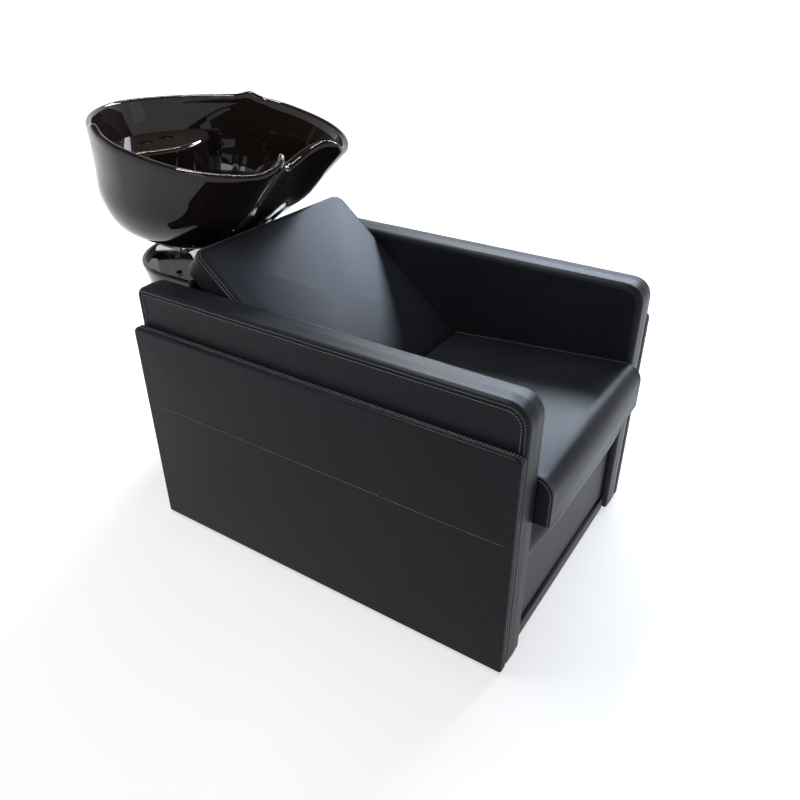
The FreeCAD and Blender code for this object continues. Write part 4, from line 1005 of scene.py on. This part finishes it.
@dataclass
class ChairBase:
    """Covered boards between the arms: the flared apron, the plinth and the rear cover."""

    upholsterer: Upholsterer
    apron_depth: float = 0.010
    flare_height: float = 0.205
    flare_bow: float = 0.008
    flare_reach: float = 0.045
    apron_edge: float = 1.5 * MM
    apron_steps: tuple[int, int, int, int] = (60, 8, 30, 5)
    fill: float = 0.9

    def apron(self) -> CarriedProfile:
        """Apron: a thin upright pad, pulled forward in a bow to the seat's front, tucked in at its ends.

        Its profile runs up the front, back over the top, down the back and along the underside.
        """
        low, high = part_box("apron_pad")
        face = high.y - self.apron_depth
        flare = face - low.y
        corners = [[face, low.z], [face, high.z], [high.y, high.z], [high.y, low.z], [face, low.z]]
        front, top, back, under = (np.linspace(start, end, steps)[1:] for start, end, steps
                                   in zip(corners, corners[1:], self.apron_steps))
        front = np.vstack([corners[:1], front])
        under = under[:-1]
        share = np.clip((front[:, 1] - self.flare_height) / (high.z - self.flare_height), 0, 1)
        forward = np.concatenate([share + 4 * self.flare_bow / flare * share * (1 - share),
                                  np.linspace(1, 0, len(top) + 1)[1:],
                                  np.zeros(len(back) + len(under))])
        return CarriedProfile(
            name="apron", axes=(1, 2, 0), faces=(low.x, high.x), edge_radii=(self.apron_edge,) * 2,
            profile=np.concatenate([front, top, back, under]), strip_crown=flare,
            strip_reach=self.flare_reach, pull=np.stack([-forward, np.zeros(len(forward))], axis=-1))

    def board(self, name: str, node: str, forward: bool, **looks) -> PaddedBox:
        """Thin padded box across the chair, facing forward or back."""
        low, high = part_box(node)
        faces = (high.y, low.y) if forward else (low.y, high.y)
        return PaddedBox(name=name, axes=(0, 2, 1), low=(low.x, low.z), high=(high.x, high.z),
                         faces=faces, edge_radii=(0.001, 0.004), **looks)

    def build(self) -> None:
        """All three boards."""
        plinth = self.board("plinth", "front_plinth", True, radii=(0.002,) * 4)
        rear = self.board("rear_cover", "rear_panel", False, radii=(0.003,) * 4, crowns=(0.0, 0.001))
        for form, node in ((self.apron(), "apron_pad"), (plinth, "front_plinth"), (rear, "rear_panel")):
            self.upholsterer.fit(form, node, self.fill)


@dataclass
class SeatCushion:
    """Seat cushion: a side profile carried across, boxed ends and a double seam round each end."""

    upholsterer: Upholsterer
    front: float = -0.632
    front_top: float = 0.415
    rear_top: float = 0.378
    front_radius: float = 0.035
    lower_radius: float = 0.006
    end_radius: float = 0.0055
    crown: float = 0.005
    crown_reach: float = 0.12
    front_share: float = 0.7
    top_share: float = 0.8
    seam_depth: float = 1.0 * MM
    rest_margin: float = 0.02
    rest_half: float = 0.235
    corner_steps: int = 16
    under_steps: int = 40
    front_steps: int = 22
    top_steps: int = 64
    back_steps: int = 12

    def profile(self, rear: float, bottom: float) -> tuple[np.ndarray, np.ndarray]:
        """Closed side profile from the rear foot, clockwise, and the softness of each point.

        Straight underside and back, a small lower front corner, an upright front, a broad waterfall corner
        and a straight top that falls towards the back. The front and the top are soft in their middles.
        """
        front, front_top, small, wide = self.front, self.front_top, self.lower_radius, self.front_radius
        turn = np.radians(np.linspace(0, 90, self.corner_steps))[1:-1]
        inner, outer = 1 - np.sin(turn), 1 - np.cos(turn)
        runs = [
            np.linspace([rear, bottom], [front + small, bottom], self.under_steps),
            np.stack([front + small * inner, bottom + small * outer], axis=-1),
            np.linspace([front, bottom + small], [front, front_top - wide], self.front_steps),
            np.stack([front + wide * outer, front_top - wide * inner], axis=-1),
            np.linspace([front + wide, front_top], [rear, self.rear_top], self.top_steps),
            np.linspace([rear, self.rear_top], [rear, bottom], self.back_steps)[1:-1],
        ]
        hump = np.sin(np.linspace(0, math.pi, self.top_steps))
        before = np.arange(self.top_steps) < self.top_steps / 2
        softness = [
            np.zeros(self.under_steps + len(turn)),
            self.front_share * np.sin(np.linspace(0, QUARTER, self.front_steps)),
            np.linspace(self.front_share, self.top_share, len(turn)),
            np.where(before, self.top_share + (1 - self.top_share) * hump, hump),
            np.zeros(self.back_steps - 2),
        ]
        return np.concatenate(runs), np.concatenate(softness)

    def build(self) -> None:
        """Cushion, its stitches and the swelling of its stuffing."""
        low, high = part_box("seat_cushion")
        profile, softness = self.profile(high.y, low.z)
        radius = self.end_radius
        strip = high.x - low.x - 2 * radius
        half_arc = QUARTER * radius / 2
        seams = tuple(Seam(place=place, depth=self.seam_depth) for place in (-half_arc, strip + half_arc))
        form = CarriedProfile(
            name="seat", axes=(1, 2, 0), faces=(low.x, high.x), edge_radii=(radius, radius),
            profile=profile, pull=closed_normals(profile) * softness[:, None], seams=seams,
            strip_crown=self.crown, strip_reach=self.crown_reach)

        def held(at: np.ndarray) -> np.ndarray:
            """Points near the board, the back or an end."""
            on_board, at_back = at[:, 2] < low.z + self.rest_margin, at[:, 1] > high.y - self.rest_margin
            return on_board | at_back | (np.abs(at[:, 0]) > self.rest_half)

        cover, thread = self.upholsterer.fit(form, "seat_cushion", fill=0.8)
        Stuffing(cap=6 * MM, free=(0.0, 1.0, 1.0)).swell(cover, held, [thread])


@dataclass
class BackCushion:
    """Reclined back: a padded box in its own plane, turned and set on the seat's rear edge."""

    upholsterer: Upholsterer
    lean: float = math.radians(40.0)
    foot: tuple[float, float, float] = (0.0, -0.171, 0.379)
    half_width: float = 0.245
    length: float = 0.453
    depths: tuple[float, float] = (-0.062, -0.0005)
    crown: float = 0.006
    rest_depth: float = -0.02
    rest_edge: float = 0.015

    def turn(self, thing: bpy.types.Object) -> None:
        """Turn a mesh from the back's plane to its place in the chair."""
        cos, sin = math.cos(self.lean), math.sin(self.lean)
        turn = np.array([[1, 0, 0], [0, cos, -sin], [0, sin, cos]])
        move_points(thing, mesh_points(thing) @ turn.T + np.array(self.foot))

    def build(self) -> None:
        """Back cushion with a crowned face and a double-stitched edge, swollen and turned."""
        half, length = self.half_width, self.length
        form = PaddedBox(
            name="back", axes=(0, 1, 2), low=(-half, 0.0), high=(half, length), faces=self.depths,
            radii=(0.012, 0.012, 0.026, 0.026), edge_radii=(0.006, 0.016), crowns=(0.0, self.crown),
            crown_reach=0.16, seams=(Seam(place=0.0495, puff=1.5 * MM),))

        def held(at: np.ndarray) -> np.ndarray:
            """Points near the board or an edge."""
            at_side = np.abs(at[:, 0]) > half - self.rest_edge
            at_end = np.abs(at[:, 1] - length / 2) > length / 2 - self.rest_edge
            return (at[:, 2] < self.rest_depth) | at_side | at_end

        cover, thread = self.upholsterer.fit(form, "back_cushion", fill=0.8)
        Stuffing(cap=5 * MM, free=(0.0, 0.0, 1.0)).swell(cover, held, [thread])
        for thing in (cover, thread):
            self.turn(thing)


# Basin


def smooth_table(table: tuple[float, ...], position: np.ndarray) -> np.ndarray:
    """Value of a table at positions between its rows, on a curve that passes through every row.

    Args:
        table: Values of the rows.
        position: Row numbers, with fractions.

    Returns:
        The values.
    """
    rows = np.asarray(table)
    row = np.clip(np.floor(position).astype(int), 0, len(rows) - 2)
    share = position - row
    before, start = rows[np.clip(row - 1, 0, None)], rows[row]
    end, after = rows[row + 1], rows[np.clip(row + 2, None, len(rows) - 1)]
    lean_in, lean_out, rise = (end - before) / 2, (after - start) / 2, end - start
    return start + share * (lean_in + share * (3 * rise - 2 * lean_in - lean_out
                                               + share * (lean_in + lean_out - 2 * rise)))


@dataclass(frozen=True)
class Wall:
    """Rows of one wall of the basin.

    Levels are shares of the height, widths of the half width, and fronts, rears and widest places of the
    reach from the foot to the rim. Powers say how square each end is.
    """

    level: tuple[float, ...]
    width: tuple[float, ...]
    front: tuple[float, ...]
    rear: tuple[float, ...]
    widest: tuple[float, ...]
    neck: tuple[float, ...]
    front_power: tuple[float, ...]
    rear_power: tuple[float, ...]

    @property
    def last(self) -> int:
        """Number of the last row."""
        return len(self.level) - 1

    def at(self, position: float) -> dict[str, float]:
        """Values of one row, or between two."""
        where = np.array([position])
        return {part.name: float(smooth_table(getattr(self, part.name), where)[0]) for part in fields(self)}


OUTSIDE = Wall(
    level=(0.0, 0.09, 0.22, 0.42, 0.68, 0.94),
    width=(0.483, 0.656, 0.838, 0.94, 0.967, 1.0),
    front=(0.0, 0.08, 0.223, 0.486, 0.734, 1.0),
    rear=(0.0, 0.511, 0.678, 0.842, 0.931, 1.0),
    widest=(0.0, 0.2, 0.4, 0.6, 0.8, 1.0),
    neck=(0.0, 0.0, 0.05, 0.25, 0.6, 0.95),
    front_power=(2.2, 2.25, 2.3, 2.4, 2.45, 2.5),
    rear_power=(2.1, 2.05, 2.0, 1.9, 1.75, 1.65),
)
INSIDE = Wall(
    level=(0.93, 0.66, 0.4, 0.18, 0.05, 0.01),
    width=(0.935, 0.9, 0.865, 0.76, 0.55, 0.3),
    front=(0.865, 0.649, 0.423, 0.167, 0.054, 0.014),
    rear=(0.888, 0.806, 0.731, 0.494, -0.069, -0.544),
    widest=(1.0, 0.92, 0.8, 0.6, 0.7, 1.0),
    neck=(0.98, 0.62, 0.3, 0.06, 0.0, 0.0),
    front_power=(2.45, 2.4, 2.35, 2.3, 2.1, 2.0),
    rear_power=(1.7, 1.75, 1.8, 1.9, 2.0, 2.0),
)


@dataclass
class Basin:
    """Glazed basin: a shell of closed curves and a round-fronted deck with pale tap holes."""

    finishes: Finishes
    rear: float = 0.641
    length: float = 0.595
    half_width: float = 0.269
    widest_setback: float = 0.315
    foot_front: float = 0.268
    foot_rear: float = 0.481
    foot: float = 0.604
    rear_height: float = 0.273
    front_drop: float = 0.065
    front_setback: float = 0.031
    bump_height: float = 0.0075
    bump_width: float = 0.022
    bump_setback: float = 0.208
    horn_rise: float = 0.033
    horn_offset: float = 0.064
    horn_width: float = 0.042
    horn_reach: float = 0.200
    wall: float = 0.016
    rim_radius: float = 0.0075
    neck_dip: float = 0.030
    neck_depth: float = 0.074
    neck_half_width: float = 0.104
    neck_lip: float = 0.014
    floor: float = 0.626
    drain: tuple[float, float] = (0.0, 0.310)
    drain_radius: float = 0.0225
    drain_lip: float = 0.0008
    drain_rows: tuple[float, ...] = (0.001, 0.012)
    floor_rings: tuple[float, ...] = (0.040, 0.032, 0.026)
    foot_shares: tuple[float, ...] = (0.0, 0.35, 0.7, 0.9, 0.97)
    deck_top: float = 0.798
    deck_radius: float = 0.170
    deck_centre: float = 0.595
    deck_edge: float = 0.009
    deck_edge_gap: float = 0.004
    deck_base: float = 0.012
    deck_flare: float = 0.016
    deck_flare_level: float = 0.640
    deck_flare_reach: float = 0.014
    deck_bite: float = 0.55
    deck_shares: tuple[float, ...] = (0.0, 0.3, 0.55, 0.75, 0.88, 0.96, 1.0)
    deck_hub: tuple[float, float] = (0.0, 0.470)
    tap_spacing: float = 0.062
    tap_y: float = 0.528
    tap_radius: float = 0.017
    tap_glaze: float = 0.010
    tap_depth: float = 0.022
    tap_clear: float = 0.01
    sharp_angle: float = math.radians(40)
    columns: int = 360
    plan_steps: int = 1600
    wall_rows: int = 61
    rim_turns: tuple[float, float, int] = (8, 172, 15)
    deck_columns: int = 240
    deck_turns: tuple[float, float, int] = (10, 90, 9)
    deck_wall_rows: int = 40
    tap_columns: int = 48

    @property
    def front(self) -> float:
        """Place of the horns' tips."""
        return self.rear - self.length

    def notch(self, x: np.ndarray, y: np.ndarray) -> np.ndarray:
        """Weight of the neck notch: one in the middle of the front, none past its half width."""
        inside = (np.abs(x) < self.neck_half_width) & (y < self.front + self.length / 2)
        return np.where(inside, np.cos(math.pi * x / (2 * self.neck_half_width)) ** 2, 0.0)

    def rim_height(self, x: np.ndarray, y: np.ndarray) -> np.ndarray:
        """Height of the rim: level behind, a bump each side, a falling front, raised horns, a dipped neck."""
        bump_y = self.rear - self.bump_setback
        low_y = self.front + self.front_setback
        drop = self.front_drop * np.clip((bump_y - y) / (bump_y - low_y), 0, 1)
        bump = self.bump_height * bell(y - bump_y, self.bump_width)
        at_front = y < self.front + self.horn_reach
        horn = np.where(at_front, self.horn_rise * bell(np.abs(x) - self.horn_offset, self.horn_width), 0.0)
        return self.foot + self.rear_height - drop + bump + horn - self.neck_dip * self.notch(x, y)

    def plan(self, wall: Wall, position: float, inset: float = 0.0) -> np.ndarray:
        """Plan of one row: a superellipse with its own power at each end, evenly spaced, with the neck dent.

        Args:
            wall: Table of rows.
            position: Row number, with a fraction.
            inset: Distance drawn in from the row.

        Returns:
            Points in plan, round by the left from the middle of the front.
        """
        row = wall.at(position)
        angle = np.linspace(0, 2 * math.pi, self.plan_steps + 1)[:-1]
        at_front = np.cos(angle) > 0
        power = np.where(at_front, row["front_power"], row["rear_power"])
        middle = (self.foot_front + self.foot_rear) / 2
        front = self.foot_front + (self.front - self.foot_front) * row["front"] + inset
        rear = self.foot_rear + (self.rear - self.foot_rear) * row["rear"] - inset
        widest = middle + (self.rear - self.widest_setback - middle) * row["widest"]
        reach = np.where(at_front, widest - front, rear - widest)
        half = self.half_width * row["width"] - inset
        x = half * np.sign(np.sin(angle)) * np.abs(np.sin(angle)) ** (2 / power)
        y = widest - reach * np.sign(np.cos(angle)) * np.abs(np.cos(angle)) ** (2 / power)
        even = spaced(np.stack([x, y], axis=-1), True, self.columns)
        depth = self.neck_depth * row["neck"] + self.neck_lip * min(inset / self.wall, 1)
        even[:, 1] += depth * self.notch(even[:, 0], even[:, 1])
        return even

    def rising_row(self, plan: np.ndarray, base: float, share: float, drop: float = 0.0) -> np.ndarray:
        """Points in plan, lifted by a share of the way from a base to the rim above them."""
        rim = self.plan(OUTSIDE, OUTSIDE.last)
        heights = self.rim_height(rim[:, 0], rim[:, 1])
        return np.column_stack([plan, base + share * (heights - base) - drop])

    def shell_rows(self) -> np.ndarray:
        """Rows of the shell: out from the drain under the foot, up the outside, over the rim and back."""
        turn = 2 * math.pi * np.arange(self.columns) / self.columns
        ring = np.stack([np.sin(turn), -np.cos(turn)], axis=-1)
        drain = np.array(self.drain)
        bore = drain + ring * self.drain_radius
        foot = self.plan(OUTSIDE, 0.0)
        rows = [level_row(bore + (foot - bore) * share, self.foot) for share in self.foot_shares]
        rows += [self.rising_row(self.plan(OUTSIDE, position), self.foot, OUTSIDE.at(position)["level"])
                 for position in np.linspace(0, OUTSIDE.last, self.wall_rows)]
        rows += [self.rising_row(self.plan(OUTSIDE, OUTSIDE.last, self.rim_radius * (1 - math.cos(angle))),
                                 self.foot, 1.0, self.rim_radius * (1 - math.sin(angle)))
                 for angle in np.radians(np.linspace(*self.rim_turns))]
        rows += [self.rising_row(self.plan(INSIDE, position), self.floor, INSIDE.at(position)["level"])
                 for position in np.linspace(0, INSIDE.last, self.wall_rows)]
        last = rows[-1][:, :2]
        rows.append(level_row((last + drain + ring * self.floor_rings[0]) / 2, self.floor))
        rows += [level_row(drain + ring * radius, self.floor)
                 for radius in (*self.floor_rings, self.drain_radius + self.drain_lip)]
        rows += [level_row(bore, self.floor - depth) for depth in self.drain_rows]
        return np.array(rows)

    def deck_row(self, radius: float, height: float, share: float = 1.0) -> np.ndarray:
        """One row of the deck, seen from its hub.

        In plan the row is the nearer of a circle about the deck's centre and the shell's outside drawn in.

        Args:
            radius: Radius of the circle.
            height: Height of the row.
            share: Share of the way from the hub.

        Returns:
            Points of the row.
        """
        hub = np.array(self.deck_hub)
        angle = np.linspace(-math.pi, math.pi, self.deck_columns, endpoint=False)
        ray = np.stack([np.sin(angle), np.cos(angle)], axis=-1)
        to_centre = np.array([0.0, self.deck_centre]) - hub
        along = ray @ to_centre
        circle = along + np.sqrt(np.maximum(radius ** 2 - to_centre @ to_centre + along ** 2, 0))
        level = (height - self.foot) / self.rear_height
        position = float(np.interp(level, OUTSIDE.level, np.arange(OUTSIDE.last + 1)))
        away = self.plan(OUTSIDE, position, self.wall * self.deck_bite) - hub
        bearing = np.arctan2(away[:, 0], away[:, 1])
        order = np.argsort(bearing)
        reach = np.linalg.norm(away, axis=1)
        limit = np.interp(angle, bearing[order], reach[order], period=2 * math.pi)
        return level_row(hub + ray * (share * np.minimum(circle, limit))[:, None], height)

    def deck_rows(self) -> np.ndarray:
        """Rows of the deck: a level top out to a round front, a rolled edge, a flared wall and its base."""
        radius, edge, top = self.deck_radius, self.deck_edge, self.deck_top
        base = self.foot + self.deck_base
        rows = [self.deck_row(radius - edge, top, share) for share in self.deck_shares]
        rows += [self.deck_row(radius - edge + edge * math.sin(turn), top - edge * (1 - math.cos(turn)))
                 for turn in np.radians(np.linspace(*self.deck_turns))]
        heights = np.linspace(top - edge - self.deck_edge_gap, base, self.deck_wall_rows)
        flares = self.deck_flare * bell(heights - self.deck_flare_level, self.deck_flare_reach)
        rows += [self.deck_row(radius + flare, height) for flare, height in zip(flares, heights)]
        rows.append(self.deck_row(radius, base, 0.0))
        return np.array(rows)

    def bore_taps(self, deck: bpy.types.Object) -> None:
        """Bore the tap holes into the deck, glazed over the edge and bare below."""
        deck.data.materials.append(self.finishes.materials[Finish.BISQUE])
        turn = np.linspace(0, 2 * math.pi, self.tap_columns, endpoint=False)
        circle = np.stack([np.cos(turn), np.sin(turn)], axis=-1)
        rises = (self.tap_clear, -self.tap_glaze, -self.tap_depth)
        above, bare, below = (self.deck_top + rise for rise in rises)
        wide = self.tap_radius
        outline = ((0.0, above), (wide, above), (wide, bare), (wide, below), (0.0, below))
        for side in Side:
            centre = np.array([side.value * self.tap_spacing / 2, self.tap_y])
            rows = np.array([level_row(centre + circle * radius, height) for radius, height in outline])
            cutter = self.finishes.dress(tube_object("tap_cutter", rows), Finish.GLAZE)
            cutter.data.materials.append(self.finishes.materials[Finish.BISQUE])
            middles = np.empty(len(cutter.data.polygons) * 3, dtype=np.float32)
            cutter.data.polygons.foreach_get("center", middles)
            cutter.data.polygons.foreach_set("material_index", (middles[2::3] < bare).astype(np.int32))
            knife = deck.modifiers.new("tap_hole", "BOOLEAN")
            knife.operation, knife.solver, knife.object = "DIFFERENCE", "EXACT", cutter
            knife.material_mode = "TRANSFER"
            applied(deck)
            bpy.data.objects.remove(cutter)
        deck.data.set_sharp_from_angle(angle=self.sharp_angle)

    def build(self) -> None:
        """Shell and deck, both on the tilting body."""
        shell = tube_object("basin_shell", self.shell_rows(), wrap_rows=True)
        deck = tube_object("basin_deck", self.deck_rows())
        for thing in (shell, deck):
            self.finishes.dress(thing, Finish.GLAZE)
        self.bore_taps(deck)
        for thing in (shell, deck):
            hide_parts("basin")
            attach(thing, Body.BASIN.value)
            LOG.info("%s stands for basin", thing.name)


# Hardware, stage and light


HARDWARE = {
    Finish.TIMBER: ("arm_front_post", "arm_rear_post", "arm_middle_post", "arm_bottom_rail", "arm_top_rail",
                    "side_board", "front_seat_rail", "rear_seat_rail", "rear_base_rail", "apron_board",
                    "seat_board", "back_board", "back_cleats"),
    Finish.COLUMN: ("column_shell", "access_cover"),
    Finish.STEEL: ("foot_plate", "steel_post", "head_plate", "link_bars", "cross_bolts"),
    Finish.CHROME: ("tilt_bracket", "pivot_nuts", "pivot_pin", "waste_strainer", "bracket_bolts",
                    "cover_screws"),
    Finish.ZINC: ("tilt_cradle", "cradle_bolts", "bracket_nuts", "seat_screws"),
    Finish.RUBBER: ("basin_gasket", "waste_seal", "glides", "friction_washers"),
    Finish.PLASTIC: ("waste_nut", "tailpiece"),
}


@dataclass
class Hardware:
    """Every solid that stays as it is: timber, steel, column, fittings."""

    nodes: dict[str, bpy.types.Object]
    finishes: Finishes

    def build(self) -> None:
        """Give each solid its finish by the start of its name."""
        for finish, starts in HARDWARE.items():
            for name, thing in self.nodes.items():
                if name.startswith(starts):
                    self.finishes.dress(thing, finish)
                    LOG.info("%s is %s", name, finish.value)


@dataclass(frozen=True)
class Lamp:
    """One soft rectangular light."""

    name: str
    place: tuple[float, float, float]
    aim: tuple[float, float, float]
    size: tuple[float, float]
    power: float
    colour: Colour = (1.0, 1.0, 1.0)

    def build(self) -> None:
        """Hang the light and point it."""
        data = bpy.data.lights.new(self.name, "AREA")
        data.shape = "RECTANGLE"
        data.size, data.size_y = self.size
        data.energy = self.power
        data.color = self.colour
        thing = bpy.data.objects.new(self.name, data)
        thing.location = self.place
        thing.rotation_euler = (Vector(self.aim) - Vector(self.place)).to_track_quat("-Z", "Y").to_euler()
        bpy.context.scene.collection.objects.link(thing)


LAMPS = (
    Lamp("window", (3.0, -0.35, 2.62), (0.0, -0.2, 0.5), (2.4, 0.7), 185.0, (0.72, 0.82, 1.0)),
    Lamp("far_window", (3.0, 1.35, 2.9), (0.0, -0.3, 0.5), (0.9, 0.7), 70.0, (0.82, 0.92, 1.0)),
    Lamp("near_panel", (-2.6, -0.64, 1.9), (0.0, 0.3, 0.7), (0.9, 0.6), 8.0),
    Lamp("front_panel", (0.6, -2.8, 1.7), (0.0, -0.2, 0.4), (1.4, 0.8), 1.5, (1.0, 0.98, 0.95)),
    Lamp("near_tube", (-0.6, 0.4, 2.6), (-0.6, 0.4, 0.0), (1.2, 0.06), 24.0),
    Lamp("far_tube", (0.8, 0.9, 2.6), (0.8, 0.9, 0.0), (1.2, 0.06), 24.0),
)
SEEN_SKY = ((0.0, 1.0), (0.42, 1.0), (0.52, 0.3), (0.65, 0.10), (1.0, 0.2))
LIGHT_SKY = ((0.0, 1.0), (0.2, 1.0), (0.3, 0.25), (0.5, 0.10), (1.0, 0.2))


def seen_rays(tree: bpy.types.NodeTree):
    """One for rays from the camera, a mirror or glass, nothing for the rays that light the object."""
    ray = tree.nodes.new("ShaderNodeLightPath").outputs
    mirrored = math_node(tree, "MAXIMUM", ray["Is Glossy Ray"], ray["Is Transmission Ray"])
    return math_node(tree, "MAXIMUM", ray["Is Camera Ray"], mirrored)


def smooth_step(tree: bpy.types.NodeTree, socket, start: tuple[float, float], end: tuple[float, float]):
    """Value that goes smoothly from one level to another while its input passes between two numbers.

    Args:
        tree: Node tree that gets the node.
        socket: The input.
        start: Input and level where the step starts.
        end: Input and level where it ends.

    Returns:
        The output socket.
    """
    node = tree.nodes.new("ShaderNodeMapRange")
    node.interpolation_type = "SMOOTHSTEP"
    for label, value in zip(("From Min", "To Min", "From Max", "To Max"), (*start, *end)):
        node.inputs[label].default_value = value
    tree.links.new(socket, node.inputs["Value"])
    return node.outputs["Result"]


@dataclass(frozen=True)
class Studio:
    """Camera, floor, surroundings and lights."""

    camera_place: tuple[float, float, float] = (-1.2396, -0.960, 1.200)
    azimuth: float = -57.24
    elevation: float = 31.37
    lens: float = 33.79
    sensor: float = 36.0
    far_clip: float = 200.0
    floor_reach: float = 60.0
    floor_level: float = -0.0006
    floor_tone: float = 0.5
    glow: tuple[float, float] = (0.62, 1.0)
    glow_reach: tuple[float, float] = (1.2, 4.0)
    shade_middle: float = -0.155
    shade_half: tuple[float, float] = (0.30, 0.415)
    shade_fade: float = 0.9

    def build(self) -> None:
        """Set up the whole studio."""
        scene = bpy.context.scene
        scene.view_settings.view_transform = "Standard"
        data = bpy.data.cameras.new("camera")
        data.sensor_width, data.lens, data.clip_end = self.sensor, self.lens, self.far_clip
        camera = bpy.data.objects.new("camera", data)
        camera.location = self.camera_place
        camera.rotation_euler = (math.radians(90 - self.elevation), 0.0, math.radians(self.azimuth))
        scene.collection.objects.link(camera)
        scene.camera = camera
        self.floor()
        self.surroundings()
        for lamp in LAMPS:
            lamp.build()

    def floor(self) -> None:
        """Pale floor that runs out to white, keeps the chair's shadow and stays dark under the chair."""
        square = np.array([[-1.0, -1.0], [1.0, -1.0], [1.0, 1.0], [-1.0, 1.0]]) * self.floor_reach
        corners = level_row(square, self.floor_level)
        floor = mesh_object("floor", corners, np.array([[0, 1, 2, 3]]), merge=False)
        paint = Paint("pale_floor").set(Roughness=0.9, Specular_IOR_Level=0.0)
        tree, shader = paint.tree, paint.shader
        shader.inputs["Base Color"].default_value = (*(self.floor_tone,) * 3, 1)
        shader.inputs["Emission Color"].default_value = (1, 1, 1, 1)
        at = coordinates(tree, paint.place)
        from_middle = (at["X"], math_node(tree, "SUBTRACT", at["Y"], self.shade_middle))
        shares = [math_node(tree, "DIVIDE", math_node(tree, "ABSOLUTE", away), half)
                  for away, half in zip(from_middle, self.shade_half)]
        edge = math_node(tree, "MAXIMUM", *shares)
        open_floor = smooth_step(tree, edge, (self.shade_fade, 0.0), (1.0, 1.0))
        away = tree.nodes.new("ShaderNodeVectorMath")
        away.operation = "LENGTH"
        tree.links.new(paint.place, away.inputs[0])
        glow = smooth_step(tree, away.outputs["Value"], *zip(self.glow_reach, self.glow))
        glow = math_node(tree, "MULTIPLY", glow, open_floor)
        tree.links.new(math_node(tree, "MULTIPLY", glow, seen_rays(tree)), shader.inputs["Emission Strength"])
        floor.data.materials.append(paint.material)

    def surroundings(self) -> None:
        """Soft surroundings: white round the horizon, a dim room above, and less light than is seen."""
        world = bpy.data.worlds.new("surroundings")
        bpy.context.scene.world = world
        world.use_nodes = True
        tree = world.node_tree
        height = coordinates(tree, tree.nodes.new("ShaderNodeTexCoord").outputs["Generated"])["Z"]
        mix = tree.nodes.new("ShaderNodeMixRGB")
        tree.links.new(seen_rays(tree), mix.inputs["Fac"])
        for sky, label in ((LIGHT_SKY, "Color1"), (SEEN_SKY, "Color2")):
            ramp = tree.nodes.new("ShaderNodeValToRGB")
            tree.links.new(height, ramp.inputs["Fac"])
            stops = ramp.color_ramp.elements
            for stop, (level, tone) in zip((stops[0], stops[1]), (sky[0], sky[-1])):
                stop.position, stop.color = level, (tone, tone, tone, 1)
            for level, tone in sky[1:-1]:
                stops.new(level).color = (tone, tone, tone, 1)
            tree.links.new(ramp.outputs["Color"], mix.inputs[label])
        tree.links.new(mix.outputs["Color"], tree.nodes["Background"].inputs["Color"])


def main() -> None:
    """Load the frame, build every piece and the studio."""
    logging.basicConfig(level=logging.INFO)
    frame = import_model()
    finishes = Finishes()
    upholsterer = Upholsterer(finishes)
    Hardware(frame["nodes"], finishes).build()
    for side in Side:
        ArmSide(upholsterer, side).build()
    ChairBase(upholsterer).build()
    SeatCushion(upholsterer).build()
    BackCushion(upholsterer).build()
    Basin(finishes).build()
    Studio().build()


if __name__ == "__main__":
    main()
